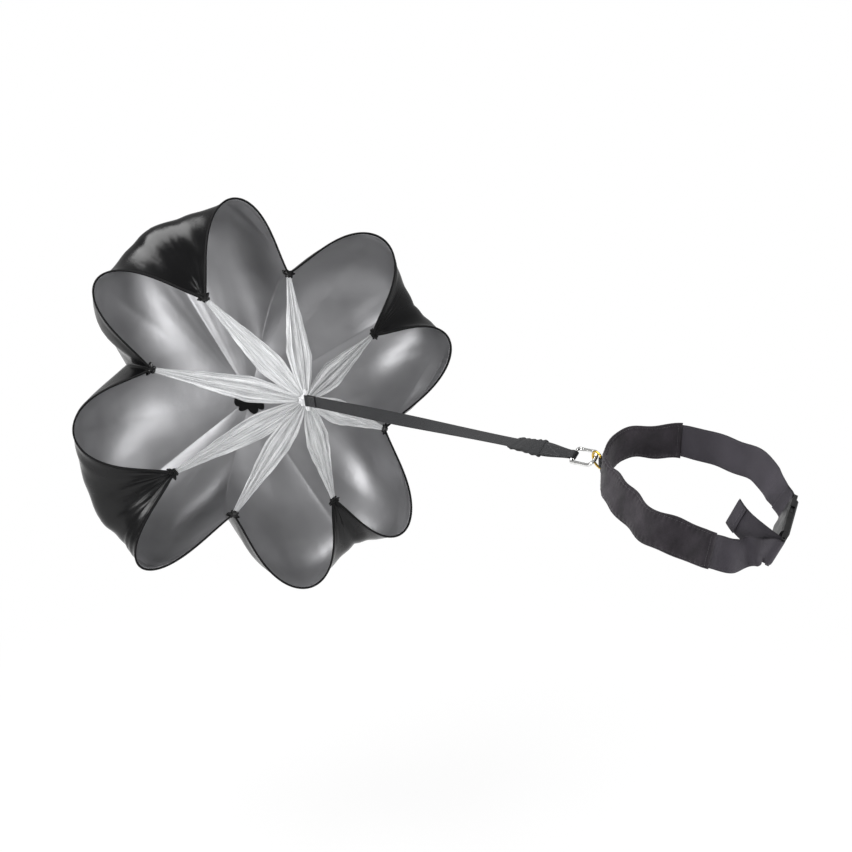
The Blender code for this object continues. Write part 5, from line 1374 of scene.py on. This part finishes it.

# %% [markdown]
# ## Belt webbing
# One length runs from the socket's bar, round the back of the loop, and ends inside the
# sleeve. The other starts there, goes round the plug's bar, and its free tail turns into
# the loop. The tail is doubled at its end and sewn with two lines. The front length hangs
# between the sleeve and the plug, and is attached to no body.

# %% Webbing round the loop, round both bars, and the free tail
BELT_WIDTH, BELT_THICKNESS = 0.050, 0.0018
BAR_RADIUS = 0.0025
WRAP = BAR_RADIUS + TOUCH + BELT_THICKNESS / 2
JOIN = 0.020 - SLEEVE_NEAR      # both lengths end here, 20 mm inside the sleeve
JOIN_GAP = 0.0015
FOLD_BACK, FOLD_STEP = 0.026, 0.006
BAR_OPENING = 0.010      # the two legs open over this length before a bar
RISE_LEAD, RISE_RUN = 0.0015, 0.0095
TAIL_LENGTH, TAIL_HEM = 0.085, 0.020
TAIL_GAP = 0.0002
TAIL_SEAMS, TAIL_SEAM_HALF = (0.004, 0.016), 0.0235
tail_turns = np.radians(np.linspace(38, 70, 60))


def bar_turn(start=0.0, count=22):
    """Half a turn round a bar, from its inner side to its outer."""
    angle = np.linspace(start - math.pi / 2, math.pi / 2, count)
    return WRAP * np.cos(angle), WRAP * np.sin(angle)


def socket_webbing():
    """Along the inner leg, half a turn round the bar, back on the outer leg, round the loop."""
    lay = BELT_THICKNESS / 2 + TOUCH
    turn_along, turn_out = bar_turn()
    leg = np.linspace(BELT_HIGH - FOLD_BACK, BELT_HIGH - BAR_OPENING, 12)
    mend = np.linspace(BELT_HIGH - BAR_OPENING, BELT_HIGH, 8)[1:-1]
    flare = lay + (WRAP - lay) * smooth_step((mend - mend[0]) / (BELT_HIGH - mend[0]))
    back = np.linspace(BELT_HIGH - FOLD_BACK - FOLD_STEP, JOIN, 190)
    distance = np.concatenate((leg, mend, BELT_HIGH + turn_along, mend[::-1], leg[::-1], back))
    offset = np.concatenate((np.full(12, -lay), -flare, turn_out, flare[::-1], np.full(12, lay),
                             lay * (1 - smooth_step((back[0] - back) / 0.02))))
    centres, up = on_belt(distance, offset)
    return strap("back_webbing", centres, up, BELT_WIDTH, BELT_THICKNESS, BELT_WEBBING, body="belt",
                 stands_for=["belt_webbing"])


def tail_path():
    """The tail leaves the bar and turns steadily away from the belt, into the loop."""
    start, along, out, up = (v[0] for v in belt_frames(BELT_LOW))
    heading = np.cos(tail_turns)[:, None] * along - np.sin(tail_turns)[:, None] * out
    leave = start - WRAP * (math.cos(tail_turns[0]) * out + math.sin(tail_turns[0]) * along)
    steps = heading[1:] * TAIL_LENGTH / (len(tail_turns) - 1)
    path = leave + np.vstack((np.zeros(3), np.cumsum(steps, axis=0)))
    away = run_of(path) / TAIL_LENGTH
    side = np.cross(unit(np.gradient(path, axis=0)), up)
    return path + (ripple(away, (0.0016, 7, 0)) * away)[:, None] * side, up


def plug_webbing():
    """From inside the sleeve to the plug's bar, half a turn round it, and on as the tail."""
    turn_along, turn_out = bar_turn(tail_turns[0])
    run = np.linspace(JOIN - JOIN_GAP, BELT_LOW + BAR_OPENING, 70)
    mend = np.linspace(BELT_LOW + BAR_OPENING, BELT_LOW, 10)[1:-1]
    rise = WRAP * smooth_step((mend[0] + RISE_LEAD - mend) / RISE_RUN)
    distance = np.concatenate((run, mend, BELT_LOW - turn_along[::-1]))
    offset = np.concatenate((np.zeros(70), rise, turn_out[::-1]))
    centres, up = on_belt(distance, offset)
    tail, tail_up = tail_path()
    centres = np.vstack((centres, tail[1:]))
    up = np.vstack((up, np.broadcast_to(tail_up, tail[1:].shape)))
    return strap("front_webbing", centres, up, BELT_WIDTH, BELT_THICKNESS, BELT_WEBBING,
                 stands_for=["adjuster_webbing"])


def tail_layer():
    """The hem of the tail: a second layer on its inner side."""
    tail, up = tail_path()
    inward = np.cross(unit(np.gradient(tail, axis=0)), up)
    run = run_of(tail)
    layer = at_distance(tail - inward * (BELT_THICKNESS + TAIL_GAP),
                        np.linspace(run[-1] - TAIL_HEM, run[-1], 14))
    piece = strap("tail_hem_layer", layer, up, BELT_WIDTH, BELT_THICKNESS, BELT_WEBBING,
                  stands_for=["tail_hem"])
    seams = []
    for back in TAIL_SEAMS:
        spot = at_distance(tail, np.array([run[-1] - back]))[0]
        face = read_at(inward, run, np.array([run[-1] - back]))[0]
        line = np.linspace(-TAIL_SEAM_HALF, TAIL_SEAM_HALF, 20)[:, None] * up
        seams.append(stitch_points(spot - face * (1.5 * BELT_THICKNESS + TAIL_GAP) + line, -face))
        seams.append(stitch_points(spot + face * (0.5 * BELT_THICKNESS) + line, face))
    return piece, sew("tail_stitches", seams, BLACK_THREAD)


back_webbing = socket_webbing()
front_webbing = plug_webbing()
hem_layer, tail_seams = tail_layer()
for piece in (front_webbing, hem_layer, tail_seams):
    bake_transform(piece)
tell(back_webbing, front_webbing, hem_layer)

# %% [markdown]
# ## The padded sleeve
# The sleeve is a flat tube of brushed cloth over thin foam. It is thickest along its
# middle, drawn in along the seams near both edges, and puckered between the stitches. The
# section is a pillow shape: its half thickness is a function of the place across, minus a
# groove at each seam. The puckers could be a bump alone, but where the sleeve turns away
# from the camera their relief shows in its outline.

# %% The sleeve and its seams
SLEEVE_HALF, SLEEVE_DEEP, SLEEVE_EDGE = 0.0277, 0.0038, 0.0018
SEAM_PLACE, SEAM_INSET = 0.0238, 0.006
GROOVE, GROOVE_REACH = 0.0011, 0.0016
PUCKER, PUCKER_PITCH, PUCKER_REACH = 0.00035, 0.0085, 0.0055
PUCKER_SHIFT = 0.002      # the puckers lie this much nearer the middle than the seam
SLEEVE_END, SLEEVE_END_RUN = 0.36, 0.004      # share of the thickness left at the ends
SLEEVE_STITCH = 0.0040, 0.0030, 0.0003
SLEEVE_PLACES = 41


def sleeve_section(height, distance):
    """Half thickness at a height across and a distance along: pillow, groove and waves.

    The groove is a bell curve on the seam, the pucker is a sine of the distance that a wider
    bell curve holds beside it, and two slow sines make the foam soft.
    """
    share = np.abs(height) / SLEEVE_HALF
    beside = np.abs(height) - SEAM_PLACE
    pillow = SLEEVE_EDGE + (SLEEVE_DEEP - SLEEVE_EDGE) * np.sqrt(np.clip(1 - share ** 5, 0, 1))
    groove = GROOVE * np.exp(-(beside / GROOVE_REACH) ** 2)
    pucker = np.sin(2 * math.pi * distance / PUCKER_PITCH + 1.3 * np.sin(distance * 70))
    pucker = PUCKER * pucker * np.exp(-((beside + PUCKER_SHIFT) / PUCKER_REACH) ** 2)
    soft = ripple(distance, (0.0004, 210, 130 * height)) * (1 - share ** 2)
    slack = ripple(distance, (0.0006, 95, 2.0)) * np.cos(2.2 * share)
    return (pillow - groove + pucker + soft + slack) * np.sqrt(np.clip(1 - share ** 14, 0, 1))


def make_sleeve():
    """The section carried along the belt, outer face then inner. Its ends are drawn in."""
    distance = np.linspace(SLEEVE_FAR, -SLEEVE_NEAR, 260)
    centre, _, out, up = belt_frames(distance)
    place = np.sin(np.linspace(-math.pi / 2, math.pi / 2, SLEEVE_PLACES)) * SLEEVE_HALF
    place = np.concatenate((place, place[-2:0:-1]))
    sign = np.concatenate((np.ones(SLEEVE_PLACES), -np.ones(SLEEVE_PLACES - 2)))
    end = np.minimum(distance - distance[-1], distance[0] - distance)
    close = SLEEVE_END + (1 - SLEEVE_END) * rounded_end(end, SLEEVE_END_RUN)
    wander = ripple(distance, (0.030, 52, 1), (0.014, 131, 0))
    ragged = 1 + wander[:, None] * ((np.abs(place) / SLEEVE_HALF) ** 3)[None, :]
    deep = sleeve_section(place[None, :], distance[:, None]) * close[:, None] * sign[None, :]
    high = place[None, :] * ragged
    rings = centre[:, None] + high[..., None] * up[:, None] + deep[..., None] * out[:, None]
    uv = np.stack(np.broadcast_arrays(high, distance[:, None]), -1)
    return loft("padded_sleeve", rings, (SLEEVE,), uv, body="belt", stands_for=["back_sleeve"])


def sleeve_seams():
    """Two lines along each face, and one across each face at both ends."""
    seams = []
    ends = SLEEVE_FAR - SEAM_INSET, SEAM_INSET - SLEEVE_NEAR
    distance = np.linspace(*ends, 260)
    centre, _, out, up = belt_frames(distance)
    for side in (-1, 1):
        for row in (-SEAM_PLACE, SEAM_PLACE):
            deep = side * sleeve_section(np.array(row), distance)
            path = centre + row * up + deep[:, None] * out
            seams.append(stitch_points(path, side * out, *SLEEVE_STITCH))
        for where in ends:
            c, _, o, u = (v[0] for v in belt_frames(where))
            row = np.linspace(-SEAM_PLACE, SEAM_PLACE, 24)
            deep = side * sleeve_section(row, where)
            seams.append(stitch_points(c + row[:, None] * u + deep[:, None] * o, side * o))
    return sew("sleeve_stitches", seams, BLACK_THREAD, "belt")


sleeve = make_sleeve()
sleeve_stitches = sleeve_seams()
tell(sleeve, sleeve_stitches)

# %% [markdown]
# ## Ring tab and ring
# A short piece of webbing goes over the ring's straight bar and is sewn to the sleeve on
# both sides of it. The ring is a D of brass-plated wire: a straight bar, two small corners
# and a round bow. Its path could be a stretched circle, but a D has a truly straight side
# where the tab holds it, so lines and arcs are joined and walked at even steps.

# %% Ring tab and D-ring
RING_WIRE, RING_HALF, RING_DEPTH, RING_CORNER = 0.0019, 0.0131, 0.021, 0.0035
TAB_WIDTH, TAB_THICKNESS = 0.018, 0.0015
TAB_SEAMS, TAB_SEAM_HALF = (0.0085, 0.0125), 0.0075
TAB_STITCH = 0.0028, 0.0022      # pitch and length
ring_middle = np.array(joints["ring_yaw"]["pos_m"])


def make_tab():
    """A foot on the sleeve, an arc over the ring's bar, and a second foot, as one spline."""
    centre, along, out, up = (v[0] for v in belt_frames(0.0, False))
    bar = float((ring_middle - centre) @ out)
    radius = RING_WIRE + TOUCH + TAB_THICKNESS / 2
    angle = np.radians(np.linspace(-10, 190, 40))
    over = (centre + (radius * np.cos(angle))[:, None] * along
            + (bar + radius * np.sin(angle))[:, None] * out)
    flat = SLEEVE_DEEP + TOUCH + TAB_THICKNESS / 2
    legs = np.linspace(TAB_LEG, TAB_LEG / 2.4, 10)
    first, _ = on_belt(legs, np.full(10, flat))
    last, _ = on_belt(-legs[::-1], np.full(10, flat))
    path = smooth_line(np.vstack((first, over[::3], last)), 4)
    return strap("ring_tab_webbing", path, up, TAB_WIDTH, TAB_THICKNESS, TETHER_WEBBING,
                 body="belt", stands_for=["ring_tab"])


def tab_seams():
    """Two rows across the tab on each side of the ring's bar, on the tab's outer face."""
    seams = []
    lift = SLEEVE_DEEP + TOUCH + TAB_THICKNESS
    row = np.linspace(-TAB_SEAM_HALF, TAB_SEAM_HALF, 12)[:, None]
    for side in (-1, 1):
        for where in TAB_SEAMS:
            c, _, o, u = (v[0] for v in belt_frames(side * where))
            seams.append(stitch_points(c + row * u + lift * o, o, *TAB_STITCH))
    return sew("tab_stitches", seams, BLACK_THREAD, "belt")


def make_ring():
    """Bar, corners and bow in the plane of the bar's up and the direction to the tether."""
    up = unit(np.array(joints["ring_yaw"]["axis"]))
    away = square_to(np.array((-1.0, 0.0, 0.0)), up)
    middle = RING_DEPTH - RING_HALF
    turn = np.linspace(math.pi / 2, -math.pi / 2, 49)
    x = [middle + RING_HALF * np.cos(turn)]
    z = [RING_HALF * np.sin(turn)]
    for side, first in ((-1, -math.pi / 2), (1, math.pi)):
        corner = np.linspace(first, first - math.pi / 2, 12)
        x.append(RING_CORNER + RING_CORNER * np.cos(corner))
        z.append(side * (RING_HALF - RING_CORNER) + RING_CORNER * np.sin(corner))
    x, z = np.concatenate(x), np.concatenate(z)
    path = ring_middle + x[:, None] * away + z[:, None] * up
    closed = np.vstack((path, path[:1]))
    even = at_distance(closed, np.linspace(0, run_of(closed)[-1], 121)[:-1])
    return tube("brass_ring", even, np.cross(up, away), RING_WIRE, BRASS, True, body="d_ring",
                stands_for=["d_ring"])


tab = make_tab()
tab_stitches = tab_seams()
ring = make_ring()
tell(tab, tab_stitches, ring)

# %% [markdown]
# ## The snap hook
# The hook is bent from 6 mm wire: a narrow round nose that takes the ring, and a squared
# eye for the strap. One side is left open for the gate. The wire's end at the hinge is
# pressed flat to a tongue, and the gate's fork closes over it on a small rivet. Bent wire is
# as thick all the way, so one round section carried along a line is true to how it is made.

# %% Hook, gate and rivet
HOOK_LENGTH, HOOK_WIDTH = 0.064, 0.031
HOOK_EYE_CORNER = 0.005
HINGE_SHARE, NOSE_SHARE = 0.70, 0.24      # along the hook, from its nose
TONGUE_LENGTH, TONGUE_BLEND, TONGUE_SHARE = 0.0055, 0.0035, 0.3667
TONGUE_PAST_HINGE, NOSE_STRAIGHT = 0.0018, 0.0006
TONGUE_ROUND, NOSE_ROUND = 0.0016, 0.0012
HOOK_RINGS = 240
GATE_RADIUS, GATE_START = 0.0026, 0.0026
CHEEK_RADIUS, CHEEK_HALF, CHEEK_PLACE = 0.0024, 0.00050, 0.00195
CHEEK_BEFORE, CHEEK_AFTER = 0.0030, 0.0040      # its two ends, from the hinge
RIVET_HEAD, RIVET_SHANK, RIVET_HALF, HEAD_SHARE = 0.0016, 0.0009, 0.0034, 0.80
hook_across = np.cos(HOOK_ROLL) * SIDE + np.sin(HOOK_ROLL) * tether_up
hook_normal = np.cross(tether_way, hook_across)
hook_start = -(HOOK_LENGTH - 2 * HOOK_WIRE)
hook_radius = HOOK_WIDTH / 2 - HOOK_WIRE
hinge_along = hook_start + (HOOK_LENGTH - 2 * HOOK_WIRE) * HINGE_SHARE
nose_along = hook_start + (HOOK_LENGTH - 2 * HOOK_WIRE) * NOSE_SHARE


def on_hook(along, across, through=0.0):
    """Places from the eye's wire: along the tether, across the hook and through its plane."""
    along, across, through = np.broadcast_arrays(along, across, through)
    return (eye + along[..., None] * tether_way + across[..., None] * hook_across
            + through[..., None] * hook_normal)


def hook_outline():
    """Straight side, two eye corners, the other side, the round nose and its short return."""
    far, near = -HOOK_EYE_CORNER, hook_start + hook_radius
    turn = np.linspace(0, math.pi / 2, 14)
    nose = np.linspace(0, 0.94 * math.pi, 44)
    along = np.concatenate((np.linspace(hinge_along - TONGUE_PAST_HINGE, far, 14)[:-1],
                            far + HOOK_EYE_CORNER * np.sin(turn),
                            far + HOOK_EYE_CORNER * np.cos(turn),
                            near - hook_radius * np.sin(nose),
                            (nose_along - NOSE_STRAIGHT, nose_along)))
    wide = hook_radius - HOOK_EYE_CORNER
    across = np.concatenate((np.full(13, hook_radius), wide + HOOK_EYE_CORNER * np.cos(turn),
                             -wide - HOOK_EYE_CORNER * np.sin(turn), -hook_radius * np.cos(nose),
                             (hook_radius, hook_radius)))
    return along, across


def make_hook():
    """Round wire along the outline, pressed flat at the hinge and rounded at both tips."""
    path = on_hook(*hook_outline())
    length = run_of(path)[-1]
    where = np.linspace(0, length, HOOK_RINGS)
    pressed = smooth_step((where - TONGUE_LENGTH) / TONGUE_BLEND)
    squeeze = TONGUE_SHARE + (1 - TONGUE_SHARE) * pressed
    tips = rounded_end(where, TONGUE_ROUND, 0.05) * rounded_end(length - where, NOSE_ROUND, 0.05)
    return tube("hook_wire", at_distance(path, where), hook_normal, HOOK_WIRE * tips, NICKEL, False,
                squeeze, body="snap_hook", stands_for=["hook_body"])


def make_gate():
    """Gate: a turned bar with two shallow grooves, and a fork of two flat cheeks."""
    where = np.linspace(hinge_along + GATE_START, nose_along + TOUCH, 60)
    share = np.linspace(0, 1, 60)
    radius = GATE_RADIUS * (1 - 0.06 * np.exp(-((share - 0.12) / 0.03) ** 2)
                            - 0.05 * np.exp(-((share - 0.92) / 0.02) ** 2))
    radius = radius * np.sqrt(np.clip(1 - (2 * share - 1) ** 40, 0.15, 1))
    bar = tube("gate_bar", on_hook(where, hook_radius), hook_normal, radius, NICKEL, body="gate",
               stands_for=["hook_gate"])
    cheeks = []
    for side in (-1, 1):
        run = np.linspace(hinge_along - CHEEK_BEFORE, hinge_along + CHEEK_AFTER, 16)
        half = CHEEK_RADIUS * rounded_end(run - run[0], CHEEK_RADIUS, 0.1)
        u, v = oval(20, 2.0, 2.0, 3.5)
        centre = on_hook(run, hook_radius, side * CHEEK_PLACE)
        rings = (centre[:, None] + (half[:, None] * u)[..., None] * hook_across
                 + (CHEEK_HALF * v)[:, None] * hook_normal)
        cheeks.append(loft("gate_cheek_%d" % (2 + side), rings, (NICKEL,), body="gate"))
    return bar, cheeks


def make_rivet():
    """Rivet: a thin shank, and at both ends a head whose radius falls as a quarter circle."""
    share = np.linspace(-1, 1, 40)
    beyond = (np.abs(share) - HEAD_SHARE) / (1 - HEAD_SHARE)
    dome = RIVET_HEAD * np.sqrt(np.clip(1 - beyond ** 2, 0.02, 1))
    radius = np.where(np.abs(share) > HEAD_SHARE, dome, RIVET_SHANK)
    centres = on_hook(hinge_along, hook_radius, share * RIVET_HALF)
    return tube("hinge_rivet", centres, tether_way, radius, NICKEL, body="snap_hook",
                stands_for=["gate_pin"])


hook = make_hook()
gate, cheeks = make_gate()
rivet = make_rivet()
tell(hook, gate, *cheeks, rivet)

# %% [markdown]
# ## The buckle
# A side-release buckle is moulded in two parts. The socket is a flat box with a window at
# each edge, where the plug's springy prongs catch. The solid model already has the true
# shapes, but its edges are sharp. Here a copy of each solid is merged and gets rounded
# edges, as a mould gives.

# %% Buckle parts with moulded edges
FLAT_DEGREES, EDGE_DEGREES = 1.0, 35
BOX_EDGE, PRONG_EDGE = 0.0006, 0.0005


def moulded(name, node, radius, body):
    """A copy of a solid node, merged, with its edges rounded by a bevel."""
    source = frame["nodes"][node]
    mesh = source.data.copy()
    mesh.name = name
    shape = bmesh.new()
    shape.from_mesh(mesh)
    bmesh.ops.remove_doubles(shape, verts=shape.verts, dist=1e-6)
    bmesh.ops.dissolve_limit(shape, angle_limit=math.radians(FLAT_DEGREES), verts=shape.verts,
                             edges=shape.edges)
    shape.to_mesh(mesh)
    shape.free()
    mesh.materials.clear()
    mesh.materials.append(ACETAL)
    piece = bpy.data.objects.new(name, mesh)
    bpy.context.scene.collection.objects.link(piece)
    mesh.shade_smooth()
    bevel = piece.modifiers.new("edges", "BEVEL")
    bevel.width = radius
    bevel.segments = 3
    bevel.limit_method = "ANGLE"
    bevel.angle_limit = math.radians(EDGE_DEGREES)
    bevel.harden_normals = False
    normals = piece.modifiers.new("normals", "WEIGHTED_NORMAL")
    normals.keep_sharp = True
    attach(piece, body)
    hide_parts(node)
    return piece


socket = moulded("socket_half", "buckle_socket", BOX_EDGE, "belt")
plug = moulded("plug_half", "buckle_plug", BOX_EDGE, "buckle_plug")
upper_prong = moulded("upper_prong", "prong_upper", PRONG_EDGE, "prong_up")
lower_prong = moulded("lower_prong", "prong_lower", PRONG_EDGE, "prong_down")
tell(socket, plug, upper_prong, lower_prong)

# %% [markdown]
# ## The canopy's flat size
# The canopy is cut from a square of 1.05 m. The gathers hold it, and its hem and stitches go
# with it.

# %% [markdown]
# ## Floor, background and light
# The photograph is cut out on white, so a wide white floor and a white world stand in for
# that. One grey world would be simpler, but it can't be white behind the object and gentle on
# it. Here a ray says what it is for: the camera, and rays that pass through something, see
# full white. Polished surfaces mirror a little under half of it, and the plain light on cloth
# is about a third. The floor lies so low that the canopy clears it at every joint's limit.

# %% Floor and world
SHADOW_NEAR, SHADOW_FAR, NEAR_WHITE = 1.2, 3.2, 0.80
MIRRORED_WHITE, PLAIN_LIGHT = 0.45, 0.36


def white_floor():
    """Matt white paper: a share of plain white for the camera, the rest takes shadows.

    The share grows with the distance from the middle, so the paper fades into the world.
    """
    material, tree = new_material("white_studio_paper", 0.9)
    finish(material, Base_Color=two_tone(tree, blotches(tree, 400), 0, 1, "#f6f6f6", "#fbfbfb"))
    place = put(tree, "ShaderNodeTexCoord", output="Object")
    away = put(tree, "ShaderNodeVectorMath", {0: place}, "Value", operation="LENGTH")
    share = put(tree, "ShaderNodeMapRange", {0: away, 1: SHADOW_NEAR, 2: SHADOW_FAR,
                                             3: NEAR_WHITE, 4: 1.0})
    seen = put(tree, "ShaderNodeLightPath", output="Is Camera Ray")
    part = put(tree, "ShaderNodeMath", {0: seen, 1: share}, operation="MULTIPLY")
    paper = tree.nodes["Principled BSDF"].outputs[0]
    glow = put(tree, "ShaderNodeEmission", {"Color": (1, 1, 1, 1), "Strength": 1.0})
    mixed = put(tree, "ShaderNodeMixShader", {0: part, 1: paper, 2: glow})
    tree.links.new(mixed, tree.nodes["Material Output"].inputs["Surface"])
    return material


FLOOR_RADIUS = 40.0
LOWEST_SWING = 0.66      # the strap can hang the canopy this much lower than it flies
FLOOR_LEVEL = float(cad_box[0][2]) - LOWEST_SWING
ring_points = polar(np.linspace(0.4, FLOOR_RADIUS, 12)[:, None],
                    np.arange(64)[None, :] * 2 * math.pi / 64, FLOOR_LEVEL)
floor_faces = list(grid_faces(12, 64, False, True)) + [np.arange(64)[::-1]]
floor = make_piece("studio_floor", ring_points, floor_faces, (white_floor(),))

world = bpy.data.worlds.new("white_world")
bpy.context.scene.world = world
world.use_nodes = True
wtree = world.node_tree
sky = wtree.nodes["Background"]
sky.inputs["Color"].default_value = (1, 1, 1, 1)
camera_ray, mirror_ray, through_ray = (
    put(wtree, "ShaderNodeLightPath", output="Is %s Ray" % kind)
    for kind in ("Camera", "Glossy", "Transmission"))
direct = put(wtree, "ShaderNodeMath", {0: camera_ray, 1: through_ray}, operation="MAXIMUM")
shiny = put(wtree, "ShaderNodeMath", {0: mirror_ray, 1: MIRRORED_WHITE}, operation="MULTIPLY")
seen_white = put(wtree, "ShaderNodeMath", {0: direct, 1: shiny}, operation="MAXIMUM")
strength = put(wtree, "ShaderNodeMath", {0: seen_white, 1: PLAIN_LIGHT}, operation="MAXIMUM")
wtree.links.new(strength, sky.inputs["Strength"])
print("floor at", round(FLOOR_LEVEL, 3), "m; plain light", PLAIN_LIGHT)

# %% [markdown]
# ## Lamps
# A studio lights such a thing with large soft boxes, because a small lamp would give hard
# shadows and pin-sharp glints. One stands left of the canopy, one right and one above and
# behind it. Each is placed by how it is seen from the canopy and is turned to it.

# %% Three soft boxes


def soft_box(name, place, aim, width, height, watts):
    """A flat lamp at a place, turned to a point. Larger boxes give softer edges."""
    data = bpy.data.lights.new(name, "AREA")
    data.shape = "RECTANGLE"
    data.size = width
    data.size_y = height
    data.energy = watts
    lamp = bpy.data.objects.new(name, data)
    lamp.location = place
    lamp.rotation_mode = "QUATERNION"
    lamp.rotation_quaternion = (Vector(aim) - Vector(place)).to_track_quat("-Z", "Y")
    bpy.context.scene.collection.objects.link(lamp)
    return lamp


CANOPY_SPOT = (-1.65, 0.02, -0.50)


def lamp_place(azimuth, elevation, distance):
    """A place seen from the canopy: turned about Z, lifted, and so far away."""
    return Vector(CANOPY_SPOT) + distance * viewing_direction(azimuth, elevation)


lamps = [soft_box("left_box", lamp_place(18, 18, 5.0), CANOPY_SPOT, 1.6, 1.6, 140),
         soft_box("right_box", lamp_place(117, 8, 6.0), CANOPY_SPOT, 1.6, 1.6, 180),
         soft_box("top_box", lamp_place(-50, 66, 4.2), CANOPY_SPOT, 2.3, 2.3, 190)]
print("lamps:", [(lamp.name, lamp.data.energy) for lamp in lamps])

# %% [markdown]
# ## Colour management
# The view transform is Standard, so a colour leaves the picture as it was written. A filmic
# one would be kinder to highlights, but would turn the white background grey. The size of
# the solid model is printed.

# %% Set the view transform and print the solid model's size
bpy.context.scene.view_settings.view_transform = "Standard"
print("CAD box", [round(float(v), 4) for c in cad_box for v in c])
